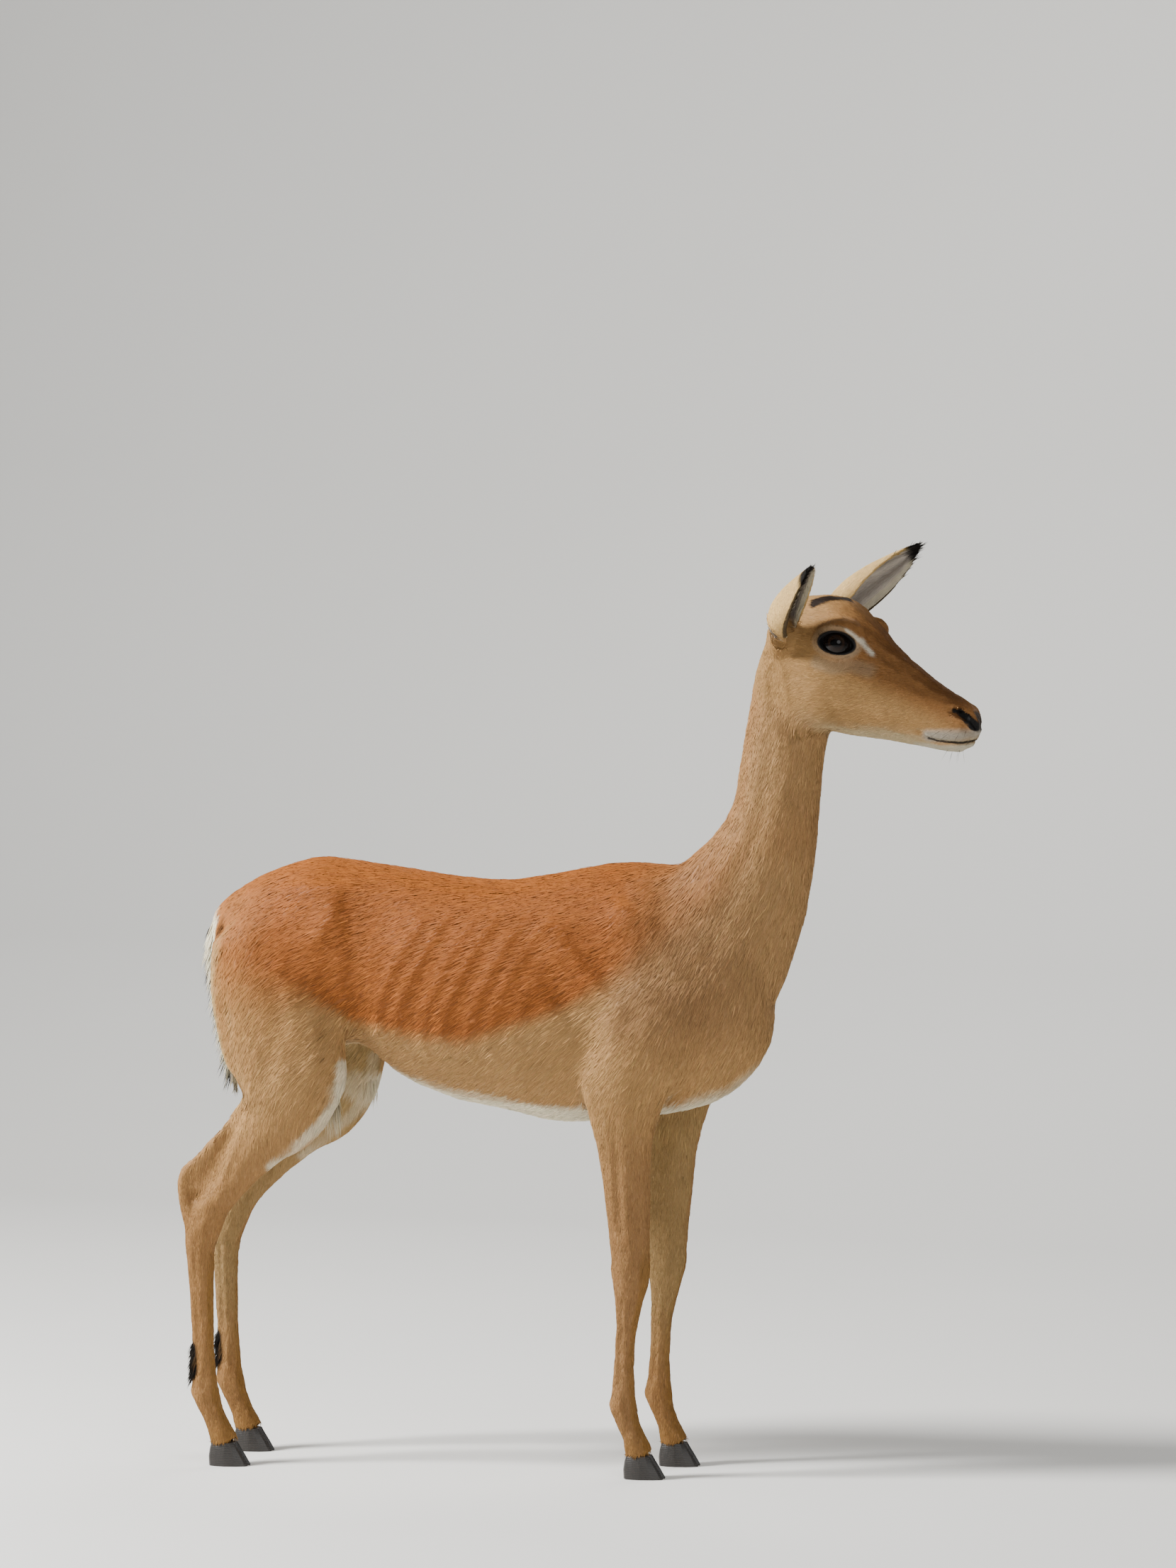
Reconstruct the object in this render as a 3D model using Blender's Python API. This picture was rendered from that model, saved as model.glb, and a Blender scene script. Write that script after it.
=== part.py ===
"""A standing female impala, life-size, as a museum model in named solid pieces.

Metres, +Z up, +X towards the nose, +Y to the animal's left. The body is lofted from its measured
sections, blended into one form, and parted by thin flat cuts. Ears, eyes and hooves are made apart.
"""

import math

import bmesh
import bpy
from mathutils import Matrix, Vector

# Driving dimensions
WITHERS = 0.790  # height of the shoulders over the ground
RUMP = 0.790  # highest point of the croup
BELLY = 0.448  # lowest point of the chest floor
RIB_HALF = 0.115  # half the widest breadth of the barrel
HEAD_YAW = math.radians(-11)  # the head looks a little to the animal's right
HEAD_ROOT = Vector((0.252, 0.0, 0.0))  # back of the skull, projected on the ground
HEAD_LENGTH = 0.287  # back of the skull to the tip of the nose
EYE_RADIUS = 0.0190
EYE_AT = (0.1075, 0.0405, 1.0690)  # centre of the left eyeball, in the head's own frame
EYE_OPENING = (0.0205, 0.0145)  # half length and half height between the lids
EYE_AIM = (0.30, 0.94, 0.08)  # the way the left eye looks
LID_TILT = math.radians(8)  # the eye's front corner lies lower than its back one
LID_DEPTH = 0.011
NOSTRIL_AT = (0.267, 0.0215, 0.982)  # middle of the left nostril, in the head's own frame
NOSTRIL_HALF = (0.0135, 0.006, 0.0048)  # half its length, depth and height
NOSTRIL_TURN = math.radians(18)  # its front end turns inwards
NOSTRIL_DROP = math.radians(25)  # and downwards
EAR_LENGTH = 0.174
EAR_SPREAD = 0.108  # breadth of the ear's leaf if it were unrolled
EAR_BOW = 0.95  # how much the back of the ear is bowed by its roll
EAR_WALL = 0.0050
RIGHT_EAR = ((0.042, -0.042, 1.065), (0.066, -0.101, 0.088))  # root, and the way it points
LEFT_EAR = ((0.056, 0.0445, 1.074), (0.096, 0.073, 0.112))
EAR_FACES = (0.84, 0.22, -0.50)  # the way an ear opens: ahead, inwards, down
HOCK_Y = 0.067  # sideways place of each hock
KNEE_Y = 0.060  # sideways place of each knee
LEFT_FORE_STEP = 0.020  # the left forefoot stands this much ahead of the right
LEFT_HIND_STEP = -0.005
LEFT_ELBOW_STEP = 0.034  # and the left elbow this much
LEFT_STIFLE_STEP = 0.008
STEP_RISE = (0.25, 0.45)  # between these heights a step goes from the foot's to the elbow's
STEP_ROOT = (0.50, 0.66)  # and between these it fades out
CORONET = 0.031  # height of the hoof's upper edge
HOOF_HALF_WIDTH = 0.0098
HOOF_INNER = 0.55  # how far a claw bulges on its inner side, as a share of its half width
TOE_TAPER = 0.45  # how much narrower a claw is at its toe
CLEFT = 0.0016  # space between the two claws of a foot
GAP = 0.0004  # clearance left where two pieces meet

# How fine the meshes are
VOXEL = 0.0038
RING_SIDES = 28
RINGS_PER_GAP = 4
BODY_TRIANGLES = 4050
DETAIL_WEIGHT = 0.02  # how much the sparing of triangles counts
HEAD_SPARED = 0.9  # how much the triangles of the head, the lower legs and the rest are spared
LIMB_SPARED = 0.6
REST_SPARED = 0.1
HEAD_FROM = 0.92  # height above which it is the head, and below which it is a lower leg
LIMB_TO = 0.40
FIRST_EASE = (0.5, 6)  # strength and rounds of the smoothing of the whole form
LATER_EASE = 0.6  # strength of the smoothing where masses meet
SHARP_FROM = math.radians(40)


# ---------------------------------------------------------------- helpers

def clear_scene():
    for thing in list(bpy.data.objects):
        bpy.data.objects.remove(thing)


def spline(rows, per_gap=RINGS_PER_GAP):
    """Points of a Catmull-Rom curve through rows of numbers, in any number of dimensions."""
    rows = [Vector(row) for row in rows]
    padded = [rows[0] * 2 - rows[1]] + rows + [rows[-1] * 2 - rows[-2]]
    made = []
    for a, b, c, d in zip(padded, padded[1:], padded[2:], padded[3:]):
        for step in range(per_gap):
            t = step / per_gap
            square = (a * 2 - b * 5 + c * 4 - d) * t ** 2
            cube = (b * 3 - a - c * 3 + d) * t ** 3
            made.append((b * 2 + (c - a) * t + square + cube) * 0.5)
    return made + [rows[-1]]


def power(value, exponent):
    return math.copysign(abs(value) ** exponent, value)


def skin_rings(name, rings):
    """A closed object through rings of points: sides bridged, ends capped."""
    bm = bmesh.new()
    loops = []
    for ring in rings:
        verts = [bm.verts.new(point) for point in ring]
        loops.append([bm.edges.new((a, b)) for a, b in zip(verts, verts[1:] + verts[:1])])
    for first, second in zip(loops, loops[1:]):
        bmesh.ops.bridge_loops(bm, edges=first + second)
    bmesh.ops.holes_fill(bm, edges=loops[0] + loops[-1])
    bmesh.ops.recalc_face_normals(bm, faces=bm.faces)
    return object_from(name, bm)


def object_from(name, bm):
    mesh = bpy.data.meshes.new(name)
    bm.to_mesh(mesh)
    bm.free()
    made = bpy.data.objects.new(name, mesh)
    bpy.context.scene.collection.objects.link(made)
    return made


def upright_loft(name, rows, place=Matrix.Identity(4)):
    """Upright sections along X. A row is x, top, bottom, half width, how high the widest part is
    as a share of the height, and the crest: above 1 the back is sharp, below 1 it is square."""
    rings = []
    for x, top, bottom, half, widest, crest in spline(rows):
        middle = bottom + widest * (top - bottom)
        ring = []
        for side in range(RING_SIDES):
            angle = math.tau * side / RING_SIDES
            up, out = math.cos(angle), math.sin(angle)
            z = middle + up * ((top - middle) if up > 0 else (middle - bottom))
            y = half * power(out, crest if up > 0 else 1.0)
            ring.append(place @ Vector((x, y, z)))
        rings.append(ring)
    return skin_rings(name, rings)


def tube(name, rows, sides=RING_SIDES, per_gap=RINGS_PER_GAP):
    """Oval sections square to a path. A row is x, y, z, half depth fore and aft, half width."""
    path = spline(rows, per_gap)
    rings = []
    for i, row in enumerate(path):
        ahead, behind = path[min(i + 1, len(path) - 1)], path[max(i - 1, 0)]
        along = Vector(ahead[:3]) - Vector(behind[:3])
        depth_way = Vector((along.z, 0, -along.x)).normalized()
        centre, deep, half = Vector(row[:3]), row[3], row[4]
        ring = []
        for side in range(sides):
            angle = math.tau * side / sides
            sideways = Vector((0, half * math.sin(angle), 0))
            ring.append(centre + depth_way * deep * math.cos(angle) + sideways)
        rings.append(ring)
    return skin_rings(name, rings)


def mass(name, centre, radii, pitch=0.0, place=Matrix.Identity(4)):
    """A rounded muscle or bone end: an ellipsoid, its long axis pitched about Y."""
    bm = bmesh.new()
    shape = (
        place
        @ Matrix.Translation(centre)
        @ Matrix.Rotation(math.radians(pitch), 4, "Y")
        @ Matrix.Diagonal((*radii, 1.0))
    )
    bmesh.ops.create_icosphere(bm, subdivisions=4, radius=1.0, matrix=shape)
    return object_from(name, bm)


def share_between(value, limits):
    """How far a value is on its way from the lower limit to the upper one, from 0 to 1."""
    low, high = limits
    return min(1.0, max(0.0, (value - low) / (high - low)))


def side_rows(rows, side, foot_step=0.0, top_step=0.0):
    """Rows of a limb moved to its side, -1 (right) or +1 (left), and stepped ahead. The step goes
    from the foot's to the elbow's or stifle's, and fades out where the limb is rooted in the body."""
    made = []
    for x, y, z, deep, half in rows:
        root = 1 - share_between(z, STEP_ROOT)
        step = (foot_step + (top_step - foot_step) * share_between(z, STEP_RISE)) * root
        made.append((x + step, side * y, z, deep, half))
    return made


def evaluated(obj):
    """Replaces an object's mesh by what its modifiers make of it."""
    graph = bpy.context.evaluated_depsgraph_get()
    mesh = bpy.data.meshes.new_from_object(obj.evaluated_get(graph))
    obj.modifiers.clear()
    obj.data = mesh
    return obj


# ---------------------------------------------------------------- the body's sections

HEAD_FRAME = Matrix.Translation(HEAD_ROOT) @ Matrix.Rotation(HEAD_YAW, 4, "Z")

# x, top, bottom, half width, height of the widest part, crest
TRUNK = [
    (-0.484, 0.720, 0.655, 0.026, 0.50, 1.0),
    (-0.460, 0.742, 0.600, 0.060, 0.50, 1.0),
    (-0.410, 0.770, 0.550, 0.090, 0.50, 1.0),
    (-0.345, RUMP, 0.525, 0.103, 0.50, 1.05),
    (-0.290, 0.786, 0.545, 0.104, 0.46, 1.1),
    (-0.230, 0.778, 0.503, 0.106, 0.44, 1.0),
    (-0.160, 0.768, 0.476, 0.112, 0.42, 1.0),
    (-0.091, 0.764, 0.463, RIB_HALF, 0.42, 1.0),
    (-0.021, 0.775, BELLY + 0.001, 0.112, 0.42, 1.15),
    (0.060, WITHERS, BELLY + 0.006, 0.100, 0.42, 1.35),
    (0.133, 0.788, 0.464, 0.090, 0.45, 1.4),
    (0.190, 0.770, 0.482, 0.080, 0.48, 1.2),
    (0.232, 0.735, 0.516, 0.064, 0.50, 1.0),
    (0.256, 0.680, 0.556, 0.036, 0.50, 1.0),
]

# x, y, z, half depth, half width
NECK = [
    (0.150, 0, 0.620, 0.105, 0.070),
    (0.185, 0, 0.690, 0.104, 0.064),
    (0.221, 0, 0.752, 0.089, 0.056),
    (0.244, 0, 0.800, 0.0715, 0.049),
    (0.258, 0, 0.846, 0.0605, 0.045),
    (0.265, 0, 0.893, 0.0565, 0.043),
    (0.271, 0, 0.940, 0.0555, 0.042),
    (0.280, -0.002, 0.985, 0.0570, 0.042),
    (0.288, -0.004, 1.030, 0.0560, 0.041),
    (0.300, -0.008, 1.070, 0.0480, 0.038),
]

# share of the head's length, top, bottom, half width, height of the widest part, crest
SKULL = [
    (-0.007, 1.092, 1.010, 0.0260, 0.50, 1.00),
    (0.084, 1.118, 0.985, 0.0400, 0.52, 1.00),
    (0.185, 1.129, 0.965, 0.0450, 0.54, 0.95),
    (0.303, 1.130, 0.955, 0.0480, 0.58, 0.85),
    (0.404, 1.121, 0.951, 0.0460, 0.60, 0.78),
    (0.498, 1.098, 0.948, 0.0395, 0.60, 0.82),
    (0.589, 1.070, 0.945, 0.0335, 0.56, 0.92),
    (0.690, 1.045, 0.940, 0.0285, 0.52, 0.95),
    (0.791, 1.023, 0.935, 0.0255, 0.50, 0.90),
    (0.869, 1.009, 0.932, 0.0245, 0.50, 0.85),
    (0.929, 1.000, 0.936, 0.0230, 0.50, 0.85),
    (0.976, 0.987, 0.947, 0.0165, 0.50, 0.90),
    (1.000, 0.974, 0.959, 0.0070, 0.50, 1.00),
]
SKULL = [(share * HEAD_LENGTH, *row) for share, *row in SKULL]

FORELEG = [
    (0.120, 0.062, 0.640, 0.072, 0.040),
    (0.100, 0.074, 0.570, 0.076, 0.040),
    (0.082, 0.076, 0.515, 0.064, 0.036),
    (0.077, 0.074, 0.475, 0.051, 0.031),
    (0.0765, 0.070, 0.442, 0.0405, 0.027),
    (0.0775, 0.066, 0.408, 0.0345, 0.0245),
    (0.0795, 0.063, 0.365, 0.0315, 0.0225),
    (0.0815, 0.061, 0.318, 0.0285, 0.0200),
    (0.0830, KNEE_Y, 0.284, 0.0265, 0.0205),
    (0.0832, KNEE_Y, 0.255, 0.0258, 0.0215),
    (0.0805, KNEE_Y, 0.222, 0.0190, 0.0175),
    (0.0765, KNEE_Y, 0.185, 0.0152, 0.0138),
    (0.0750, KNEE_Y, 0.147, 0.0148, 0.0132),
    (0.0740, KNEE_Y, 0.114, 0.0165, 0.0148),
    (0.0735, KNEE_Y, 0.093, 0.0190, 0.0170),
    (0.0800, KNEE_Y, 0.070, 0.0160, 0.0158),
    (0.0885, KNEE_Y, 0.050, 0.0162, 0.0165),
    (0.0950, KNEE_Y, CORONET - 0.001, 0.0190, 0.0185),
]

HINDLEG = [
    (-0.405, 0.055, 0.700, 0.070, 0.045),
    (-0.392, 0.070, 0.635, 0.084, 0.046),
    (-0.373, 0.078, 0.565, 0.088, 0.043),
    (-0.362, 0.083, 0.510, 0.078, 0.038),
    (-0.372, 0.083, 0.462, 0.060, 0.033),
    (-0.398, 0.079, 0.430, 0.0430, 0.028),
    (-0.423, 0.075, 0.395, 0.0300, 0.0235),
    (-0.445, 0.071, 0.364, 0.0225, 0.0205),
    (-0.466, 0.069, 0.338, 0.0220, 0.0205),
    (-0.482, HOCK_Y, 0.305, 0.0240, 0.0195),
    (-0.4860, HOCK_Y, 0.280, 0.0208, 0.0165),
    (-0.4852, HOCK_Y, 0.250, 0.0185, 0.0145),
    (-0.4840, HOCK_Y, 0.210, 0.0170, 0.0135),
    (-0.4825, HOCK_Y, 0.160, 0.0162, 0.0130),
    (-0.4810, HOCK_Y, 0.115, 0.0177, 0.0145),
    (-0.4785, HOCK_Y, 0.092, 0.0195, 0.0168),
    (-0.470, HOCK_Y, 0.069, 0.0162, 0.0155),
    (-0.461, HOCK_Y, 0.049, 0.0162, 0.0160),
    (-0.4535, HOCK_Y, CORONET - 0.001, 0.0190, 0.0180),
]

HEEL_TENDON = [
    (-0.395, 0.080, 0.520, 0.012, 0.012),
    (-0.428, 0.078, 0.462, 0.0088, 0.0095),
    (-0.458, 0.074, 0.4270, 0.0068, 0.0075),
    (-0.486, 0.070, 0.3990, 0.0065, 0.0070),
    (-0.505, 0.0685, 0.383, 0.0080, 0.0080),
]

HEEL_BONE = [
    (-0.505, 0.0685, 0.384, 0.0085, 0.0085),
    (-0.507, 0.0680, 0.364, 0.0110, 0.0105),
    (-0.501, 0.0675, 0.335, 0.0140, 0.0115),
    (-0.491, HOCK_Y, 0.300, 0.0150, 0.0125),
]

HEEL_WEB = [
    (-0.405, 0.078, 0.470, 0.026, 0.0065),
    (-0.438, 0.074, 0.425, 0.026, 0.0050),
    (-0.472, 0.070, 0.385, 0.028, 0.0055),
    (-0.485, 0.068, 0.355, 0.022, 0.0090),
]

TAIL = [
    (-0.452, 0, 0.716, 0.0120, 0.0150),
    (-0.478, 0, 0.704, 0.0125, 0.0180),
    (-0.4835, 0, 0.670, 0.0110, 0.0195),
    (-0.4775, 0, 0.620, 0.0105, 0.0195),
    (-0.4675, 0, 0.560, 0.0095, 0.0180),
    (-0.4600, 0, 0.515, 0.0080, 0.0140),
    (-0.4565, 0, 0.485, 0.0045, 0.0070),
]


# ---------------------------------------------------------------- the body as one form

def body_shapes():
    """Every shape of the body, still overlapping."""
    shapes = [
        upright_loft("trunk", TRUNK),
        tube("neck_form", NECK),
        upright_loft("skull", SKULL, HEAD_FRAME),
    ]
    for side in (-1, 1):
        fore = (LEFT_FORE_STEP, LEFT_ELBOW_STEP) if side > 0 else (0.0, 0.0)
        hind = (LEFT_HIND_STEP, LEFT_STIFLE_STEP) if side > 0 else (0.0, 0.0)
        shapes += [
            tube("foreleg", side_rows(FORELEG, side, *fore)),
            tube("hindleg", side_rows(HINDLEG, side, *hind)),
            tube("tendon", side_rows(HEEL_TENDON, side, *hind)),
            tube("heel", side_rows(HEEL_BONE, side, *hind)),
            tube("web", side_rows(HEEL_WEB, side, *hind)),
            mass("shoulder", (0.098, side * 0.054, 0.645), (0.064, 0.036, 0.105), -20),
            mass("shoulder_point", (0.178, side * 0.046, 0.590), (0.058, 0.038, 0.060)),
            mass("triceps", (0.062, side * 0.072, 0.545), (0.052, 0.032, 0.055), 25),
            mass("hip", (-0.330, side * 0.050, 0.728), (0.060, 0.034, 0.040)),
            mass("haunch", (-0.395, side * 0.064, 0.640), (0.080, 0.046, 0.090), 10),
            mass("stifle", (-0.322, side * 0.084, 0.525), (0.036, 0.028, 0.045), 15),
            mass("cheek", (0.066, side * 0.024, 1.007), (0.054, 0.0205, 0.048), 20, HEAD_FRAME),
            mass("brow", (0.118, side * 0.0425, 1.083), (0.027, 0.0215, 0.0195), 0, HEAD_FRAME),
            mass("orbit", (0.1085, side * 0.0400, 1.0730), (0.030, 0.0225, 0.0275), 0, HEAD_FRAME),
            mass("ear_root", (0.034, side * 0.036, 1.078), (0.026, 0.020, 0.028), 20, HEAD_FRAME),
            mass("nostril_wing", (0.264, side * 0.0125, 0.981), (0.017, 0.0115, 0.014), 0, HEAD_FRAME),
        ]
    return shapes


# Where two masses meet, the skin over the join is eased: centre, reach, rounds
EASED = [
    ((0.185, 0.0, 0.740), 0.150, 60),
    ((0.110, 0.07, 0.600), 0.150, 50),
    ((0.110, -0.07, 0.600), 0.150, 50),
    ((-0.360, 0.07, 0.640), 0.170, 50),
    ((-0.360, -0.07, 0.640), 0.170, 50),
    ((-0.300, 0.0, 0.540), 0.100, 40),
    ((0.270, 0.0, 1.000), 0.080, 24),
    ((0.312, 0.020, 0.985), 0.060, 30),
    ((0.300, -0.045, 0.985), 0.060, 30),
]


def blended_body():
    """The shapes as one skin: joined, remeshed to their common outside, smoothed and reduced."""
    body = joined("body", body_shapes())
    remesh = body.modifiers.new("union", "REMESH")
    remesh.mode = "VOXEL"
    remesh.voxel_size = VOXEL
    smooth = body.modifiers.new("ease", "SMOOTH")
    smooth.factor, smooth.iterations = FIRST_EASE
    evaluated(body)
    soften(body)
    keep_detail(body)
    count = sum(len(face.vertices) - 2 for face in body.data.polygons)
    reduce = body.modifiers.new("reduce", "DECIMATE")
    reduce.ratio = BODY_TRIANGLES / count
    reduce.vertex_group = "detail"
    reduce.invert_vertex_group = True
    reduce.vertex_group_factor = DETAIL_WEIGHT
    reduce.use_collapse_triangulate = True
    evaluated(body)
    body.vertex_groups.clear()
    return body


def joined(name, shapes):
    bm = bmesh.new()
    for shape in shapes:
        bm.from_mesh(shape.data)
        bpy.data.objects.remove(shape)
    return object_from(name, bm)


def soften(body):
    for number, (centre, reach, rounds) in enumerate(EASED):
        group = body.vertex_groups.new(name=f"ease_{number}")
        middle = Vector(centre)
        for vertex in body.data.vertices:
            share = 1 - (vertex.co - middle).length / reach
            if share > 0:
                group.add([vertex.index], min(1.0, share * 2), "REPLACE")
        smooth = body.modifiers.new(group.name, "SMOOTH")
        smooth.factor = LATER_EASE
        smooth.iterations = rounds
        smooth.vertex_group = group.name
    evaluated(body)
    body.vertex_groups.clear()


def keep_detail(body):
    """The head and the lower legs keep more triangles than the trunk."""
    group = body.vertex_groups.new(name="detail")
    for vertex in body.data.vertices:
        spared = REST_SPARED
        if vertex.co.z > HEAD_FROM:
            spared = HEAD_SPARED
        elif vertex.co.z < LIMB_TO:
            spared = LIMB_SPARED
        group.add([vertex.index], spared, "REPLACE")


# ---------------------------------------------------------------- ears, eyes, hooves, tail

# along the ear: share of its length, share of its spread, half angle of its roll in degrees
EAR = [
    (0.00, 0.60, 150),
    (0.12, 0.76, 145),
    (0.25, 0.93, 122),
    (0.42, 1.00, 100),
    (0.60, 0.88, 80),
    (0.76, 0.64, 64),
    (0.88, 0.40, 52),
    (0.96, 0.19, 44),
    (1.00, 0.06, 40),
]


def ear(name, root, points, side):
    """A leaf rolled into a funnel at its root and opening towards its tip, with a wall. Its two
    edges run straight from root to tip, so its back is bowed."""
    along = Vector(points).normalized()
    opening = Vector((EAR_FACES[0], -side * EAR_FACES[1], EAR_FACES[2]))
    opening = (opening - along * opening.dot(along)).normalized()
    across = along.cross(opening)
    columns = 8
    bm = bmesh.new()
    rows = []
    for share, spread, roll in EAR:
        half_angle = math.radians(roll)
        radius = EAR_SPREAD * spread / (2 * half_angle)
        row = []
        for column in range(columns + 1):
            turn = half_angle * (2 * column / columns - 1)
            point = (
                Vector(root)
                + along * EAR_LENGTH * share
                + across * radius * math.sin(turn)
                + opening * radius * (math.cos(half_angle) - math.cos(turn)) * EAR_BOW
            )
            row.append(bm.verts.new(HEAD_FRAME @ point))
        rows.append(row)
    for low, high in zip(rows, rows[1:]):
        for column in range(columns):
            bm.faces.new((low[column], low[column + 1], high[column + 1], high[column]))
    leaf = object_from(name, bm)
    wall = leaf.modifiers.new("wall", "SOLIDIFY")
    wall.thickness = EAR_WALL
    wall.offset = 0.0
    wall.use_even_offset = True
    return evaluated(leaf)


def eyeball(name, side):
    bm = bmesh.new()
    at = HEAD_FRAME @ Vector((EYE_AT[0], side * EYE_AT[1], EYE_AT[2]))
    bmesh.ops.create_uvsphere(
        bm, u_segments=12, v_segments=8, radius=EYE_RADIUS, matrix=Matrix.Translation(at)
    )
    return object_from(name, bm)


def lid_opening(side):
    """The almond between the lids, as a cutter that reaches from the eyeball outwards."""
    aim = Vector((EYE_AIM[0], side * EYE_AIM[1], EYE_AIM[2])).normalized()
    turn = Vector((0, 1, 0)).rotation_difference(aim).to_matrix().to_4x4()
    at = Vector((EYE_AT[0], side * EYE_AT[1], EYE_AT[2])) + aim * EYE_RADIUS * 0.95
    shape = HEAD_FRAME @ Matrix.Translation(at) @ turn @ Matrix.Rotation(LID_TILT, 4, "Y")
    bm = bmesh.new()
    bmesh.ops.create_uvsphere(
        bm,
        u_segments=16,
        v_segments=8,
        radius=1.0,
        matrix=shape @ Matrix.Diagonal((EYE_OPENING[0], LID_DEPTH, EYE_OPENING[1], 1.0)),
    )
    return object_from("lid_opening", bm)


def socket(side):
    bm = bmesh.new()
    at = HEAD_FRAME @ Vector((EYE_AT[0], side * EYE_AT[1], EYE_AT[2]))
    bmesh.ops.create_uvsphere(
        bm, u_segments=14, v_segments=9, radius=EYE_RADIUS + 2 * GAP, matrix=Matrix.Translation(at)
    )
    return object_from("socket", bm)


def nostril(side):
    bm = bmesh.new()
    shape = (
        HEAD_FRAME
        @ Matrix.Translation((NOSTRIL_AT[0], side * NOSTRIL_AT[1], NOSTRIL_AT[2]))
        @ Matrix.Rotation(-NOSTRIL_TURN * side, 4, "Z")
        @ Matrix.Rotation(NOSTRIL_DROP, 4, "Y")
        @ Matrix.Diagonal((*NOSTRIL_HALF, 1.0))
    )
    bmesh.ops.create_uvsphere(bm, u_segments=10, v_segments=6, radius=1.0, matrix=shape)
    return object_from("nostril_pit", bm)


def carve(target, cutters):
    """Cuts each cutter from the target and removes it."""
    for cutter in cutters:
        cut = target.modifiers.new("cut", "BOOLEAN")
        cut.operation = "DIFFERENCE"
        cut.object = cutter
        evaluated(target)
        bpy.data.objects.remove(cutter)
    return target


def against(piece, body):
    """The piece with the body's own form, grown by the clearance, taken from it."""
    cutter = object_from("grown", bmesh_of(body))
    grow = cutter.modifiers.new("grow", "DISPLACE")
    grow.strength = GAP
    grow.mid_level = 0.0
    evaluated(cutter)
    return carve(piece, [cutter])


def bmesh_of(obj):
    bm = bmesh.new()
    bm.from_mesh(obj.data)
    return bm


# height, toe ahead of the foot's middle, heel behind it, half width
CLAW = [
    (0.0000, 0.0290, 0.0225, 1.00),
    (0.0015, 0.0295, 0.0230, 1.00),
    (0.0120, 0.0235, 0.0235, 1.00),
    (0.0220, 0.0170, 0.0220, 0.96),
    (CORONET - GAP, 0.0120, 0.0195, 0.90),
]


def claw(name, at, side):
    """One half of a cloven hoof: pointed ahead, flat below, straight on its inner side."""
    sides = 12
    rings = []
    for height, toe, heel, share in CLAW:
        half = HOOF_HALF_WIDTH * share
        ring = []
        for step in range(sides):
            angle = math.tau * step / sides
            ahead, out = math.cos(angle), math.sin(angle)
            length = toe if ahead > 0 else heel
            taper = 1 - TOE_TAPER * max(ahead, 0.0) ** 2
            bulge = 1.0 if out > 0 else HOOF_INNER
            inner = CLEFT / 2 + HOOF_HALF_WIDTH * HOOF_INNER
            sideways = side * (inner + half * out * bulge * taper)
            ring.append(Vector((at[0] + length * ahead, at[1] + sideways, height)))
        rings.append(ring)
    return skin_rings(name, rings)


# ---------------------------------------------------------------- parting the body

def plane(low, high):
    """A cut square to the side view, through two points (x, z), keeping what lies ahead of it."""
    (x0, z0), (x1, z1) = low, high
    return Vector((x0, 0, z0)), Vector((z1 - z0, 0, x0 - x1)).normalized()


def back(cut):
    return cut[0], -cut[1]


HEAD_CUT = plane((0.310, 0.920), (0.215, 1.070))
NECK_CUT = plane((0.310, 0.715), (0.165, 0.800))
CHEST_CUT = plane((-0.020, 0.0), (-0.020, 1.0))
RUMP_CUT = plane((-0.262, 0.0), (-0.262, 1.0))
LEGS_APART = plane((-0.200, 0.0), (-0.200, 1.0))
BELLY_CUT = (Vector((0, 0, 0.436)), Vector((0, 0, 1)))
KNEE_CUT = (Vector((0, 0, 0.262)), Vector((0, 0, 1)))
HOCK_CUT = (Vector((0, 0, 0.322)), Vector((0, 0, 1)))
FETLOCK_CUT = (Vector((0, 0, 0.102)), Vector((0, 0, 1)))
FOOT_CUT = (Vector((0, 0, CORONET)), Vector((0, 0, 1)))
GROIN_HEIGHT = 0.500
THIGH_SLOPE = 1.1


def side_plane(side):
    return Vector((0, 0, 0)), Vector((0, side, 0))


def above_thigh(side):
    """The slanted cut between the croup and one thigh."""
    return Vector((0, 0, GROIN_HEIGHT)), Vector((0, -side * THIGH_SLOPE, 1)).normalized()


def clip(name, body, cuts):
    """The part of the body on the kept side of every cut, with flat faces where it was cut."""
    bm = bmesh_of(body)
    for point, normal in cuts:
        everything = list(bm.verts) + list(bm.edges) + list(bm.faces)
        cut = bmesh.ops.bisect_plane(
            bm,
            geom=everything,
            dist=1e-6,
            plane_co=point + normal * GAP / 2,
            plane_no=normal,
            clear_inner=True,
        )
        edges = [item for item in cut["geom_cut"] if isinstance(item, bmesh.types.BMEdge)]
        caps = bmesh.ops.holes_fill(bm, edges=edges)
        bmesh.ops.triangulate(bm, faces=caps["faces"])
    return object_from(name, bm)


def trunk_pieces(body):
    made = [
        clip("head", body, [HEAD_CUT]),
        clip("neck", body, [NECK_CUT, back(HEAD_CUT)]),
        clip("chest", body, [CHEST_CUT, back(NECK_CUT), BELLY_CUT]),
        clip("barrel", body, [RUMP_CUT, back(CHEST_CUT), BELLY_CUT]),
        clip("croup", body, [back(RUMP_CUT), above_thigh(-1), above_thigh(1)]),
    ]
    for side in (-1, 1):
        carve(made[0], [socket(side), lid_opening(side), nostril(side)])
    return made


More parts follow.
